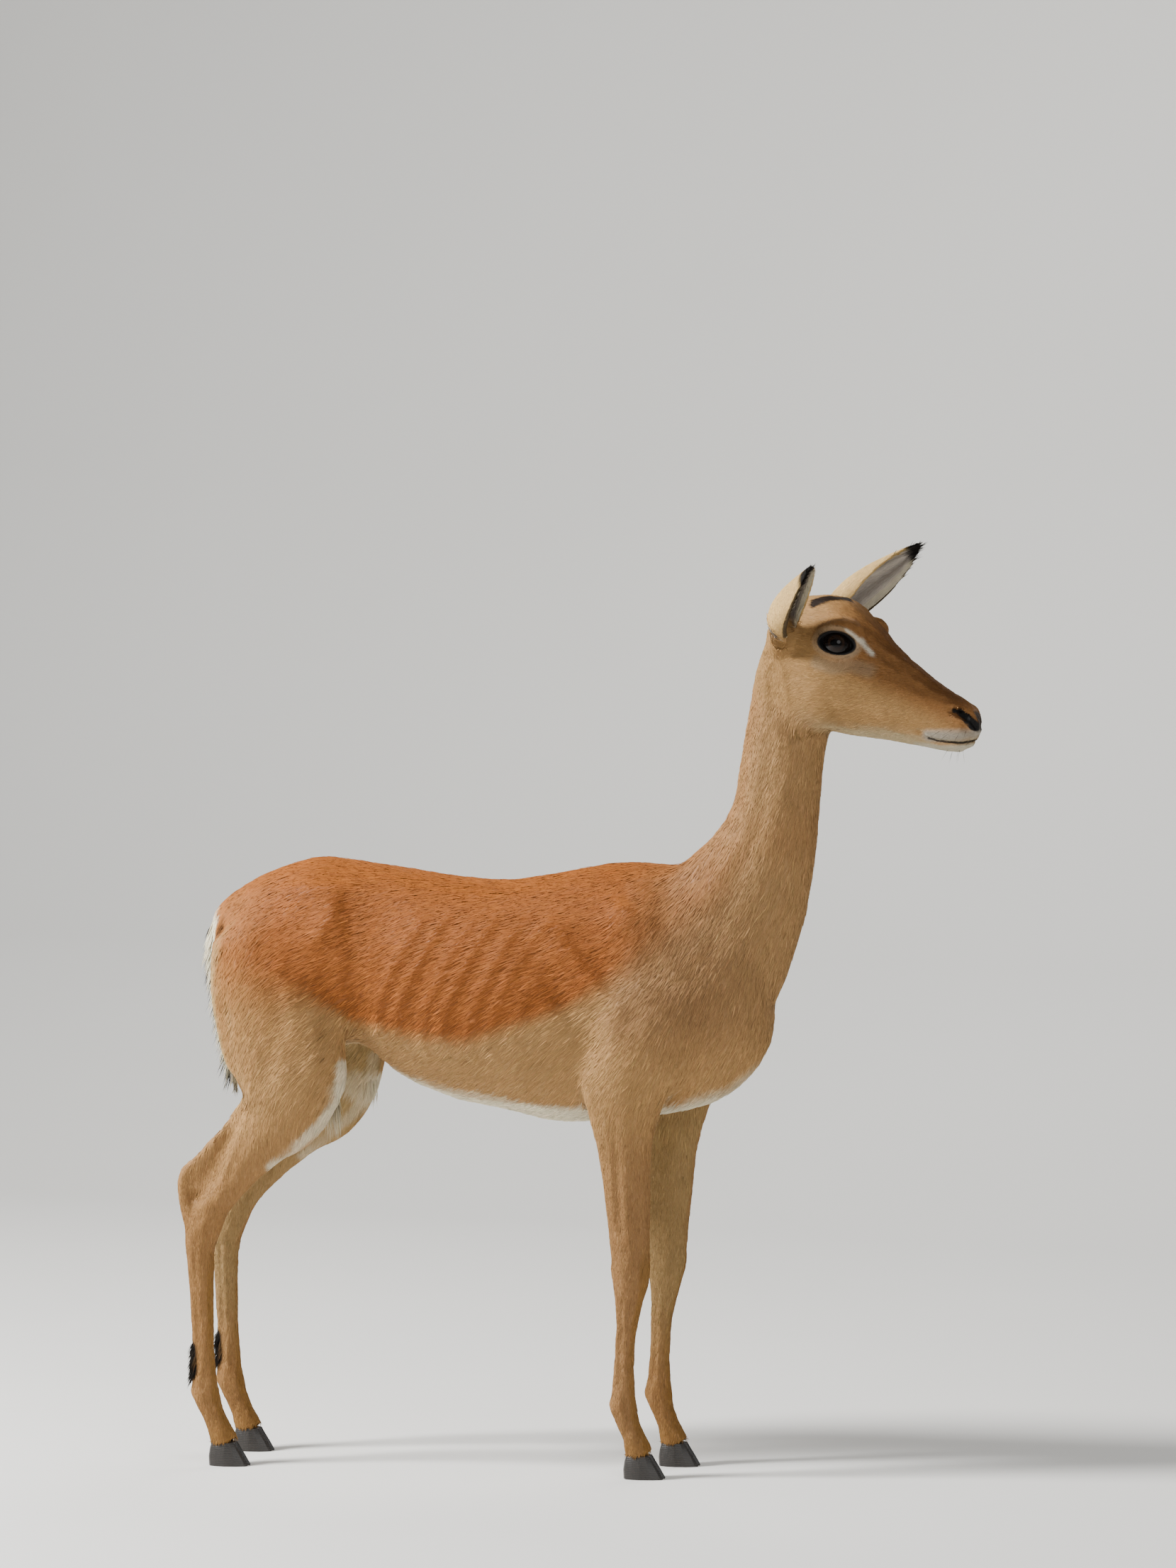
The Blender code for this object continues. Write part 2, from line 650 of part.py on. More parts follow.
def leg_pieces(body, side, word):
    at_side = side_plane(side)
    fore = [LEGS_APART, at_side]
    hind = [back(LEGS_APART), at_side]
    return [
        clip(f"forearm_{word}", body, [back(BELLY_CUT), KNEE_CUT, *fore]),
        clip(f"fore_cannon_{word}", body, [back(KNEE_CUT), FETLOCK_CUT, *fore]),
        clip(f"fore_pastern_{word}", body, [back(FETLOCK_CUT), FOOT_CUT, *fore]),
        clip(f"thigh_{word}", body, [back(RUMP_CUT), at_side, back(above_thigh(side)), BELLY_CUT]),
        clip(f"gaskin_{word}", body, [back(BELLY_CUT), HOCK_CUT, *hind]),
        clip(f"hind_cannon_{word}", body, [back(HOCK_CUT), FETLOCK_CUT, *hind]),
        clip(f"hind_pastern_{word}", body, [back(FETLOCK_CUT), FOOT_CUT, *hind]),
    ]


def hooves(side, word):
    made = []
    fore_x = FORELEG[-1][0] + 0.003 + (LEFT_FORE_STEP if side > 0 else 0)
    hind_x = HINDLEG[-1][0] + 0.003 + (LEFT_HIND_STEP if side > 0 else 0)
    for foot, x, y in (("fore", fore_x, KNEE_Y), ("hind", hind_x, HOCK_Y)):
        for claw_word, out in (("outer", side), ("inner", -side)):
            made.append(claw(f"hoof_{foot}_{word}_{claw_word}", (x, side * y), out))
    return made


# ---------------------------------------------------------------- finish and place

COAT = {
    "rufous": ((0.46, 0.17, 0.055), 0.75),
    "fawn": ((0.58, 0.31, 0.14), 0.75),
    "white": ((0.80, 0.76, 0.68), 0.80),
    "horn": ((0.035, 0.030, 0.028), 0.35),
    "eye": ((0.015, 0.010, 0.008), 0.05),
}


def coat_of(name):
    if name.startswith("hoof"):
        return "horn"
    if name.startswith("eye"):
        return "eye"
    if name.startswith("tail"):
        return "white"
    return "rufous" if name in ("barrel", "croup") else "fawn"


def finish(piece):
    colour, roughness = COAT[coat_of(piece.name)]
    material = bpy.data.materials.new(piece.name)
    material.use_nodes = True
    shader = material.node_tree.nodes["Principled BSDF"]
    shader.inputs["Base Color"].default_value = (*colour, 1.0)
    shader.inputs["Roughness"].default_value = roughness
    shader.inputs["Metallic"].default_value = 0.0
    piece.data.materials.clear()
    piece.data.materials.append(material)
    if not piece.name.startswith("hoof"):
        piece.data.shade_smooth()
        piece.data.set_sharp_from_angle(angle=SHARP_FROM)


def centre_on_floor(pieces):
    """Moves the whole animal so that the middle of its footprint box is the origin."""
    corners = [vertex.co for piece in pieces for vertex in piece.data.vertices]
    low = Vector(min(c[i] for c in corners) for i in range(3))
    high = Vector(max(c[i] for c in corners) for i in range(3))
    shift = Vector(((low.x + high.x) / 2, (low.y + high.y) / 2, low.z))
    for piece in pieces:
        piece.location = -shift


def main():
    clear_scene()
    body = blended_body()
    pieces = trunk_pieces(body)
    for side, word in ((-1, "right"), (1, "left")):
        root, points = LEFT_EAR if side > 0 else RIGHT_EAR
        pieces += leg_pieces(body, side, word)
        pieces += hooves(side, word)
        pieces.append(eyeball(f"eye_{word}", side))
        pieces.append(against(ear(f"ear_{word}", root, points, side), body))
    pieces.append(against(tube("tail", TAIL, 14, 2), body))
    bpy.data.objects.remove(body)
    for piece in pieces:
        finish(piece)
    centre_on_floor(pieces)


main()
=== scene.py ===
# %% [markdown]
# # A standing impala, life-size
#
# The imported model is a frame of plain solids: head, neck, trunk, legs, ears, eyes and hooves. They
# are the right size and in the right place, but they have flat cuts between them and no hair. Here
# one skin is drawn over the flesh, the face is modelled, and the coat is laid on the skin tuft by
# tuft. Everything is in metres: +X runs towards the nose, +Y to the animal's left, +Z up.

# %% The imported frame
import math

import bmesh
import bpy
import numpy as np
from mathutils import Matrix, Vector
from mathutils.bvhtree import BVHTree
from mathutils.kdtree import KDTree


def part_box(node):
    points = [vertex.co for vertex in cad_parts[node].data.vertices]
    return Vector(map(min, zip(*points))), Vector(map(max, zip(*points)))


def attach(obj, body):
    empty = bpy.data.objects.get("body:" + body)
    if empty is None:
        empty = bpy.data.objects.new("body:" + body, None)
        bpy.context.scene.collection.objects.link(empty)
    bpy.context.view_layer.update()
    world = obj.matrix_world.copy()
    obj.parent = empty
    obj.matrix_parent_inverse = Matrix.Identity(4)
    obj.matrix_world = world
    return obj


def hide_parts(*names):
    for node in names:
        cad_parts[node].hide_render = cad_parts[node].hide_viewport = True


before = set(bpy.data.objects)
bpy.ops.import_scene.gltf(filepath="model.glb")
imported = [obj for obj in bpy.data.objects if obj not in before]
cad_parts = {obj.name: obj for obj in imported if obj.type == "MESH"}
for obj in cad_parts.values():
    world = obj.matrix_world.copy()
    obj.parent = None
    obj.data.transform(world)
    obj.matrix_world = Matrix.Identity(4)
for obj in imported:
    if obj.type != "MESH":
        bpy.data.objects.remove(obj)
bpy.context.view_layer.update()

FLESH = [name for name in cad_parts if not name.startswith(("eye", "hoof"))]
SIDES = (-1, 1)  # the animal's right, and its left
SIDE_WORD = {-1: "right", 1: "left"}

# %% [markdown]
# Two sets of axes make the work readable. The body's start on the floor under the withers, on the
# animal's own middle plane. The head is turned a little to the right, so it has its own: they start
# under the back of the skull and run to the nose, to the left and up. Both are found from nodes of
# the frame: the barrel is alike on its two sides, and the eyes lie straight across the head.

# %% The body's axes and the head's
BARREL_FRONT = -0.02  # where the barrel ends, from the body's start
EYE_AHEAD = 0.1075  # from the back of the skull to the line through the eyes


def middle(node):
    """The middle of a node's box."""
    low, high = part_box(node)
    return (low + high) / 2


barrel_low, barrel_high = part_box("barrel")
BODY = Vector((barrel_high.x - BARREL_FRONT, (barrel_low.y + barrel_high.y) / 2, 0))
RIGHT_EYE, LEFT_EYE = middle("eye_right"), middle("eye_left")
EYES = {-1: RIGHT_EYE, 1: LEFT_EYE}
EYE_RADIUS = (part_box("eye_left")[1].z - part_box("eye_left")[0].z) / 2
ACROSS = (LEFT_EYE - RIGHT_EYE).normalized()
AHEAD = Vector((ACROSS.y, -ACROSS.x, 0))
SKULL = (LEFT_EYE + RIGHT_EYE) / 2 - AHEAD * EYE_AHEAD
SKULL.z = 0
HEAD = Matrix.Translation(SKULL) @ Matrix((AHEAD, ACROSS, (0, 0, 1))).transposed().to_4x4()
EYE_ASIDE = (LEFT_EYE - RIGHT_EYE).length / 2
print("body starts at", tuple(round(n, 4) for n in BODY), "eyes are", round(EYE_ASIDE * 2, 4), "apart")


def in_body(points):
    """Points of the frame, given from the body's start."""
    return points - np.array(BODY)


def in_head(points):
    """Points of the frame, given along the head's own axes."""
    return (points - np.array(HEAD.translation)) @ np.array(HEAD.to_3x3())


def unit(vectors):
    """Vectors of any number of rows, each made one long."""
    length = np.linalg.norm(vectors, axis=-1, keepdims=True)
    return vectors / np.maximum(length, 1e-12)


def made(name, bm):
    """A new object from a bmesh."""
    mesh = bpy.data.meshes.new(name)
    bm.to_mesh(mesh)
    bm.free()
    thing = bpy.data.objects.new(name, mesh)
    bpy.context.scene.collection.objects.link(thing)
    return thing


# %% [markdown]
# ## Camera, floor and light
#
# The camera stands to the animal's right and a little ahead of it, at the height of its back, 9 m
# off with a long lens, so that it sees the whole animal with little perspective. A wide soft key
# light comes from high on the left, behind the rump, a weaker one fills from the front, and the
# pale floor gives light back to the belly.

# %% Colours and the camera
CAMERA_TURN = math.radians(13)  # from square on, towards the nose
CAMERA_RISE = math.radians(3)
CAMERA_FAR = 9.0
CAMERA_LENS = 161.1  # in mm
AIM = BODY + Vector((0.0135, 0, 0.885))  # what the camera looks at, over the body's start


def channel(value):
    """One sRGB channel, 0 to 1, as linear light."""
    return value / 12.92 if value <= 0.04045 else ((value + 0.055) / 1.055) ** 2.4


def colour(code):
    """A colour such as "b06a35" as linear red, green and blue."""
    return np.array([channel(int(code[i:i + 2], 16) / 255) for i in (0, 2, 4)])


def towards(turn, rise):
    """A direction seen from the animal: turn from its right side towards its nose."""
    return Vector((math.sin(turn) * math.cos(rise), -math.cos(turn) * math.cos(rise), math.sin(rise)))


def looking(thing, place, target):
    """Puts a camera or a lamp at a place, turned to a target."""
    thing.location = place
    thing.rotation_euler = (target - place).to_track_quat("-Z", "Y").to_euler()
    bpy.context.scene.collection.objects.link(thing)
    return thing


camera = bpy.data.objects.new("camera", bpy.data.cameras.new("camera"))
camera.data.lens = CAMERA_LENS
looking(camera, AIM + towards(CAMERA_TURN, CAMERA_RISE) * CAMERA_FAR, AIM)
bpy.context.scene.camera = camera
print("camera at", tuple(round(n, 2) for n in camera.location))

# %% [markdown]
# Light from a disk a metre or more across has soft edges, as under a cloudy sky. The world adds a
# weak bluish light from everywhere, so that no shadow goes black.

# %% Lights and air
LIT = BODY + Vector((0, 0, 0.6))  # where the lights point
AIR, AIR_STRENGTH = "e9edf2", 0.3
LIGHTS = (  # name, turn and rise of its place in degrees, distance, size, power in watts
    ("key", -66, 38, 4.0, 1.0, 430),
    ("fill", 36, 24, 4.5, 2.6, 60),
    ("back", 170, 50, 4.5, 2.0, 60),
)
for name, turn, rise, far, size, power in LIGHTS:
    lamp = bpy.data.lights.new(name, "AREA")
    lamp.shape = "DISK"
    lamp.size = size
    lamp.energy = power
    place = LIT + towards(math.radians(turn), math.radians(rise)) * far
    looking(bpy.data.objects.new(name, lamp), place, LIT)

world = bpy.data.worlds.new("studio")
bpy.context.scene.world = world
world.use_nodes = True
sky = world.node_tree.nodes["Background"]
sky.inputs["Color"].default_value = (*colour(AIR), 1)
sky.inputs["Strength"].default_value = AIR_STRENGTH
print("lights:", [light[0] for light in LIGHTS])

# %% [markdown]
# The floor is a strip that starts behind the camera, runs level under the animal and curves up far
# behind it into a wall, as a painter's backdrop does, so that no horizon shows. One edge is
# extruded again and again along the strip's steps. A wide level ground lies just under the strip,
# for cameras on other sides. The paint is on one side only: from behind, the wall is clear, so it
# never hides the animal. A broad faint mottle keeps the paint from looking like paper.

# %% Floor
FLOOR_HALF, FLOOR_START = 9.0, -9.5  # half its breadth, and where it begins
FLOOR_STEPS = ((0, 12, 0), (0, 1.2, 0.35), (0, 0.6, 0.9), (0, 0.3, 6))
GROUND_HALF, GROUND_SUNK = 30, 0.002
PAINT = ("dddbd6", "e3e1dc")


def add_node(tree, kind, inputs=None, **settings):
    """Adds a shader node with its settings. An input's value is a socket to link, or a constant."""
    node = tree.nodes.new("ShaderNode" + kind)
    for name, value in settings.items():
        setattr(node, name, value)
    for name, value in (inputs or {}).items():
        if isinstance(value, bpy.types.NodeSocket):
            tree.links.new(value, node.inputs[name])
        else:
            node.inputs[name].default_value = value
    return node


def material(name, **sockets):
    """A material, its node tree and its Principled shader, with uniform sockets set on the shader."""
    new = bpy.data.materials.new(name)
    new.use_nodes = True
    shader = new.node_tree.nodes["Principled BSDF"]
    for socket, value in sockets.items():
        shader.inputs[socket.replace("_", " ")].default_value = value
    return new, new.node_tree, shader


def floor_paint():
    """Matt emulsion paint: it scatters nearly all its light, with hardly a gloss."""
    paint, tree, shader = material("matt_floor_paint", Roughness=0.85)
    place = add_node(tree, "TexCoord").outputs["Object"]
    mottle = add_node(tree, "TexNoise", {"Vector": place, "Scale": 1.5, "Detail": 6.0})
    pale, paler = ((*colour(code), 1) for code in PAINT)
    mixed = {0: mottle.outputs["Fac"], 6: pale, 7: paler}
    tint = add_node(tree, "Mix", mixed, data_type="RGBA")
    tree.links.new(tint.outputs[2], shader.inputs["Base Color"])
    back = add_node(tree, "NewGeometry").outputs["Backfacing"]
    clear = add_node(tree, "BsdfTransparent").outputs[0]
    sides = add_node(tree, "MixShader", {0: back, 1: shader.outputs[0], 2: clear})
    tree.links.new(sides.outputs[0], tree.nodes["Material Output"].inputs["Surface"])
    return paint


def studio_floor():
    """A floor that curves up into a backdrop far behind the animal."""
    bm = bmesh.new()
    edge = [bm.verts.new((x, 0, 0)) for x in (-FLOOR_HALF, FLOOR_HALF)]
    run = [bm.edges.new(edge)]
    turn = Matrix.Rotation(-CAMERA_TURN, 4, "Z")
    for step in FLOOR_STEPS:
        out = bmesh.ops.extrude_edge_only(bm, edges=run)["geom"]
        run = [item for item in out if isinstance(item, bmesh.types.BMEdge)]
        verts = [item for item in out if isinstance(item, bmesh.types.BMVert)]
        bmesh.ops.translate(bm, verts=verts, vec=step)
    bmesh.ops.translate(bm, verts=bm.verts, vec=(0, FLOOR_START, 0))
    bmesh.ops.transform(bm, matrix=turn, verts=bm.verts)
    bmesh.ops.recalc_face_normals(bm, faces=bm.faces)
    bm.normal_update()
    if min(bm.faces, key=lambda face: face.calc_center_median().z).normal.z < 0:
        bmesh.ops.reverse_faces(bm, faces=bm.faces)
    sunk = Matrix.Translation((0, 0, -GROUND_SUNK))
    bmesh.ops.create_grid(bm, x_segments=1, y_segments=1, size=GROUND_HALF, matrix=sunk)
    floor = made("floor", bm)
    floor.data.shade_smooth()
    floor.data.materials.append(floor_paint())
    return floor


print("floor:", len(studio_floor().data.polygons), "faces")

# %% [markdown]
# ## The skin
#
# A Remesh in voxel mode turns solids that touch or overlap into the one surface round them all. One
# size of voxel doesn't suit the whole animal: the face and the ears need about 1.5 mm, the legs
# 2.5 mm, and that would be a million faces over the trunk. So head, trunk and legs are remeshed
# apart, cut at the same heights, and bridged there into one mesh.

# %% Copies of nodes
SWELL = 0.0004  # closes the thin cuts between the nodes


def gone(thing):
    """Takes away an object that was only a step, with its mesh."""
    mesh = thing.data
    bpy.data.objects.remove(thing)
    bpy.data.meshes.remove(mesh)


def merged_copy(node):
    """A bmesh of a node, its loose triangles merged and swollen by a hair's breadth."""
    bm = bmesh.new()
    bm.from_mesh(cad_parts[node].data)
    bmesh.ops.remove_doubles(bm, verts=bm.verts, dist=1e-5)
    bm.normal_update()
    for vert in bm.verts:
        vert.co += vert.normal * SWELL
    return bm


def settled(thing):
    """The object with its modifiers made part of its mesh."""
    tree = bpy.context.evaluated_depsgraph_get()
    tree.update()
    mesh = bpy.data.meshes.new_from_object(thing.evaluated_get(tree))
    old = thing.data
    thing.modifiers.clear()
    thing.data = mesh
    bpy.data.meshes.remove(old)
    return thing


print("solids to copy:", len(FLESH), "each swollen by", SWELL * 1000, "mm")

# %% [markdown]
# An impala's ear is a leaf of gristle as long as the forehead, rolled into a funnel at its root and
# open towards its tip. The solid gives its outline in a few flat faces. For the skin it is lofted
# again from the same sections, finely and thin, with the roll of the funnel eased from row to row.

# %% The ears' leaves
EAR_LENGTH = 0.172
EAR_SPREAD = 0.106  # breadth of the leaf if it were unrolled
EAR_BOW = 0.95  # depth of the roll, as a share of a round one's
EAR_WALL = 0.003
EAR_FACES = (0.84, 0.22, -0.5)  # the way an ear opens: ahead, inwards, down
EAR_ROOT = {-1: (0.042, -0.042, 1.065), 1: (0.056, 0.0445, 1.074)}
EAR_POINTS = {-1: (0.066, -0.101, 0.088), 1: (0.096, 0.073, 0.112)}
EAR_SHARE = (0.0, 0.12, 0.25, 0.42, 0.6, 0.76, 0.88, 0.96, 1.0)  # along the ear
EAR_BREADTH = (0.6, 0.76, 0.93, 1.0, 0.88, 0.64, 0.4, 0.19, 0.05)
EAR_ROLL = (150, 145, 122, 100, 80, 64, 52, 44, 40)  # half angle of the roll, in degrees
EAR_ROWS, EAR_COLUMNS = 60, 32


def ear_axes(side):
    """Along the ear, across it, and the way it opens, in the head's axes."""
    along = Vector(EAR_POINTS[side]).normalized()
    opening = Vector((EAR_FACES[0], -side * EAR_FACES[1], EAR_FACES[2]))
    opening = (opening - along * opening.dot(along)).normalized()
    return along, along.cross(opening), opening


def eased_rows(values):
    """The values of the ear's sections at each of its rows, with the corners rounded."""
    rows = np.interp(np.linspace(0, 1, EAR_ROWS), EAR_SHARE, values)
    for _ in range(6):
        rows[1:-1] = (rows[:-2] + rows[1:-1] * 2 + rows[2:]) / 4
    return rows


def ear_grid(side):
    """Points of the leaf's middle, by row and column, in the head's axes."""
    along, across, opening = (np.array(axis) for axis in ear_axes(side))
    share = np.linspace(0, 1, EAR_ROWS)[:, None]
    half = np.radians(eased_rows(EAR_ROLL))[:, None]
    radius = EAR_SPREAD * eased_rows(EAR_BREADTH)[:, None] / (2 * half)
    turn = half * np.linspace(-1, 1, EAR_COLUMNS)[None, :]
    out = radius * (np.cos(half) - np.cos(turn)) * EAR_BOW
    place = np.array(EAR_ROOT[side]) + share[..., None] * EAR_LENGTH * along
    return place + (radius * np.sin(turn))[..., None] * across + out[..., None] * opening


def ear_leaf(side):
    """The leaf: rows of points bridged to each other, then given its thickness."""
    bm = bmesh.new()
    grid = [[bm.verts.new(HEAD @ Vector(point)) for point in row] for row in ear_grid(side)]
    loops = [[bm.edges.new(pair) for pair in zip(row, row[1:])] for row in grid]
    for low, high in zip(loops, loops[1:]):
        bmesh.ops.bridge_loops(bm, edges=low + high)
    bmesh.ops.recalc_face_normals(bm, faces=bm.faces)
    leaf = made(f"ear_leaf_{side}", bm)
    wall = leaf.modifiers.new("wall", "SOLIDIFY")
    wall.thickness = EAR_WALL
    wall.offset = 0.0
    return settled(leaf)


EAR_LEAVES = [ear_leaf(side) for side in SIDES]
print("ear leaves:", [len(leaf.data.polygons) for leaf in EAR_LEAVES], "faces")

# %% [markdown]
# Every solid that a part needs is copied into one mesh, and the remesh gives their common outside.
# A bisect at each seam's height then leaves what that part keeps. The head takes the ears' leaves
# with it, and a shallow bulge over each eye, so that the skin has no hole there yet.

# %% Head, trunk and legs as surfaces
HEAD_VOXEL = 0.0014
TRUNK_VOXEL = 0.005
LEG_VOXEL = 0.0026
NECK_SEAM = 0.88  # height at which the head's mesh meets the trunk's
LEG_SEAM = 0.438  # and the trunk's meets the legs'
SEAM_SPARE = 0.035  # each surface is kept this far past its seam while it is eased
TOP = 2.0  # higher than any ear
LID_CUT = (0.0205, 0.0045, 0.0145)  # half length, depth and height of what closes the lids' opening


def kept_between(thing, low, high):
    """The mesh of the part of an object between two heights, open where it was cut."""
    bm = bmesh.new()
    bm.from_mesh(thing.data)
    for height, way in ((low, 1), (high, -1)):
        everything = list(bm.verts) + list(bm.edges) + list(bm.faces)
        bmesh.ops.bisect_plane(
            bm, geom=everything, dist=1e-6, plane_co=(0, 0, height), plane_no=(0, 0, way), clear_inner=True
        )
    mesh = bpy.data.meshes.new("part")
    bm.to_mesh(mesh)
    bm.free()
    return mesh


def one_surface(name, nodes, voxel, low, high, more=()):
    """The common outside of nodes and of further objects, between two heights."""
    bm = bmesh.new()
    for node in nodes:
        copy = merged_copy(node)
        part = bpy.data.meshes.new(node)
        copy.to_mesh(part)
        copy.free()
        bm.from_mesh(part)
        bpy.data.meshes.remove(part)
    for thing in more:
        bm.from_mesh(thing.data)
    surface = made(name, bm)
    remesh = surface.modifiers.new("union", "REMESH")
    remesh.mode = "VOXEL"
    remesh.voxel_size = voxel
    settled(surface)
    surface.data = kept_between(surface, low, high)
    print(name, "has", len(surface.data.polygons), "faces")
    return surface


EYE_AIM = (0.3, 0.94, 0.08)  # the way the left eye looks, in the head's axes
LID_TILT = math.radians(8)  # the eye's front corner lies lower than its back one


def eye_axes(side):
    """From the eye's centre: to its front corner, to its upper lid, and the way it looks."""
    aim = (HEAD.to_3x3() @ Vector((EYE_AIM[0], side * EYE_AIM[1], EYE_AIM[2]))).normalized()
    front = (AHEAD - aim * aim.dot(AHEAD)).normalized()
    upper = Vector((0, 0, 1))
    upper = (upper - aim * aim.dot(upper) - front * front.dot(upper)).normalized()
    low_front = front * math.cos(LID_TILT) - upper * math.sin(LID_TILT)
    return low_front, upper * math.cos(LID_TILT) + front * math.sin(LID_TILT), aim


def socket_fill(side):
    """A shallow bulge that closes the opening between the lids, for the skin to run over."""
    front, upper, aim = eye_axes(side)
    turn = Matrix((front, aim, upper)).transposed().to_4x4()
    place = Matrix.Translation(EYES[side] + aim * EYE_RADIUS * 0.95)
    bm = bmesh.new()
    shape = place @ turn @ Matrix.Diagonal((*LID_CUT, 1))
    bmesh.ops.create_icosphere(bm, subdivisions=5, radius=1.0, matrix=shape)
    bmesh.ops.recalc_face_normals(bm, faces=bm.faces)
    return made("socket_fill", bm)


TRUNK_NODES = ["neck", "chest", "barrel", "croup", "thigh_right", "thigh_left"]
TRUNK_NODES += ["forearm_right", "forearm_left", "gaskin_right", "gaskin_left", "tail"]
LEG_NODES = [n for n in FLESH if n.startswith(("fore", "hind", "gaskin", "thigh", "chest"))]
fills = [socket_fill(side) for side in SIDES]
head = one_surface(
    "head_surface", ["head", "neck"], HEAD_VOXEL, NECK_SEAM - SEAM_SPARE, TOP, fills + EAR_LEAVES
)
trunk = one_surface(
    "trunk_surface", TRUNK_NODES, TRUNK_VOXEL, LEG_SEAM - SEAM_SPARE, NECK_SEAM + SEAM_SPARE
)
legs = one_surface("leg_surface", LEG_NODES, LEG_VOXEL, -TOP, LEG_SEAM + SEAM_SPARE)
for thing in fills + EAR_LEAVES:
    gone(thing)

# %% [markdown]
# The solids have flat facets a finger wide, and these would show through short hair. Each point of
# the surface is drawn towards the mean of its neighbours, and in every second round pushed back a
# little further than it came. That takes the facets away and leaves the form its size, where plain
# smoothing would thin the legs and the ears.

# %% Easing the facets away
HEAD_ROUNDS, TRUNK_ROUNDS, LEG_ROUNDS, EAR_ROUNDS = 26, 22, 16, 6
DRAW, PUSH = 0.55, -0.57
ORBIT, ORBIT_ROUNDS = 0.04, 60  # round each eye the surface is eased much more, under its lids


def points_of(thing):
    """All the points of a mesh at once, as rows of x, y and z."""
    points = np.empty(len(thing.data.vertices) * 3)
    thing.data.vertices.foreach_get("co", points)
    return points.reshape(-1, 3)


def normals_of(thing):
    normals = np.empty(len(thing.data.vertices) * 3, dtype=np.float32)
    thing.data.vertices.foreach_get("normal", normals)
    return normals.reshape(-1, 3).astype(float)


def set_points(thing, points):
    thing.data.vertices.foreach_set("co", points.astype(np.float32).ravel())
    thing.data.update()


def edges_of(thing):
    edges = np.empty(len(thing.data.edges) * 2, dtype=np.int32)
    thing.data.edges.foreach_get("vertices", edges)
    return edges.reshape(-1, 2)


def neighbour_mean(points, edges):
    """For each point, the mean of the points that share an edge with it."""
    ends = np.concatenate([edges[:, 0], edges[:, 1]])
    others = np.concatenate([edges[:, 1], edges[:, 0]])
    count = np.maximum(np.bincount(ends, minlength=len(points)), 1)
    sums = [np.bincount(ends, points[others, axis], len(points)) for axis in range(3)]
    return np.stack(sums, axis=1) / count[:, None]


def eased(points, edges, rounds, share=1.0):
    """Points drawn towards their neighbours and pushed back, so many times."""
    for turn in range(rounds * 2):
        step = DRAW if turn % 2 == 0 else PUSH
        points = points + (neighbour_mean(points, edges) - points) * step * share
    return points


EAR_FREE = 0.045  # an ear's leaf stands free of the head from here on
EAR_REACH = 0.065  # and all of it lies within this of its own line


def near_ear(points):
    """True for points of the frame that belong to an ear's free leaf."""
    place = in_head(points)
    found = np.zeros(len(points), dtype=bool)
    for side in SIDES:
        along = np.array(ear_axes(side)[0])
        rel = place - np.array(EAR_ROOT[side])
        up = rel @ along
        off = np.linalg.norm(rel - up[:, None] * along, axis=1)
        found |= (up > EAR_FREE) & (off < EAR_REACH) & (place[:, 2] > 1.06)
    return found


for thing, rounds in ((head, HEAD_ROUNDS), (trunk, TRUNK_ROUNDS), (legs, LEG_ROUNDS)):
    points, edges = points_of(thing), edges_of(thing)
    leaf = near_ear(points)[:, None]
    once = eased(points, edges, EAR_ROUNDS)
    rest = eased(once, edges, rounds - EAR_ROUNDS, np.where(leaf, 0.0, 1.0))
    round_eye = [1 - np.linalg.norm(rest - np.array(EYES[side]), axis=1) / ORBIT for side in SIDES]
    near = np.clip(np.max(round_eye, axis=0) * 2.5, 0, 1)[:, None]
    if near.any():
        for _ in range(ORBIT_ROUNDS):
            rest = rest + (neighbour_mean(rest, edges) - rest) * near
    set_points(thing, rest)
    print(thing.name, "moved at most", round(float(np.abs(rest - points).max()) * 1000, 1), "mm")

# %% [markdown]
# The three surfaces are cut a hair short of each seam, which leaves open loops of edges that face
# each other: one round the neck, and one round each leg. Bridge Loops spans the gap between two
# loops even where they have different numbers of edges.

# %% One mesh of the three
SEAM_GAP = 0.0005  # each mesh stops this far from the seam, and the bridge spans the gap


def open_loops(bm, height):
    """The closed loops of open edges next to a height."""
    left = {e for e in bm.edges if e.is_boundary and abs(e.verts[0].co.z - height) < 2 * SEAM_GAP}
    loops = []
    while left:
        loop, reach = [], [left.pop()]
        while reach:
            edge = reach.pop()
            loop.append(edge)
            near = {other for vert in edge.verts for other in vert.link_edges if other in left}
            left -= near
            reach += near
        loops.append(loop)
    return loops


def centre_of(loop):
    """The middle of a loop of edges."""
    return sum((v.co for e in loop for v in e.verts), Vector()) / (2 * len(loop))


def bridge_at(bm, height):
    """Bridges each loop at a height to the loop that lies nearest to it."""
    loops = open_loops(bm, height)
    print("loops at", height, [len(loop) for loop in loops])
    while loops:
        first = loops.pop()
        here = centre_of(first)
        second = min(loops, key=lambda loop: (centre_of(loop) - here).length)
        loops.remove(second)
        bmesh.ops.bridge_loops(bm, edges=first + second)


def joined_skin():
    """Head, trunk and legs as one closed mesh of triangles."""
    bm = bmesh.new()
    for thing, low, high in (
        (head, NECK_SEAM + SEAM_GAP, TOP),
        (trunk, LEG_SEAM + SEAM_GAP, NECK_SEAM - SEAM_GAP),
        (legs, -TOP, LEG_SEAM - SEAM_GAP),
    ):
        mesh = kept_between(thing, low, high)
        bm.from_mesh(mesh)
        bpy.data.meshes.remove(mesh)
    bridge_at(bm, NECK_SEAM)
    bridge_at(bm, LEG_SEAM)
    bmesh.ops.triangulate(bm, faces=bm.faces)
    bmesh.ops.recalc_face_normals(bm, faces=bm.faces)
    print("open edges left:", sum(e.is_boundary for e in bm.edges))
    return made("skin", bm)


skin = joined_skin()
for thing in (head, trunk, legs):
    gone(thing)
skin.data.shade_smooth()
print("skin has", len(skin.data.polygons), "triangles")

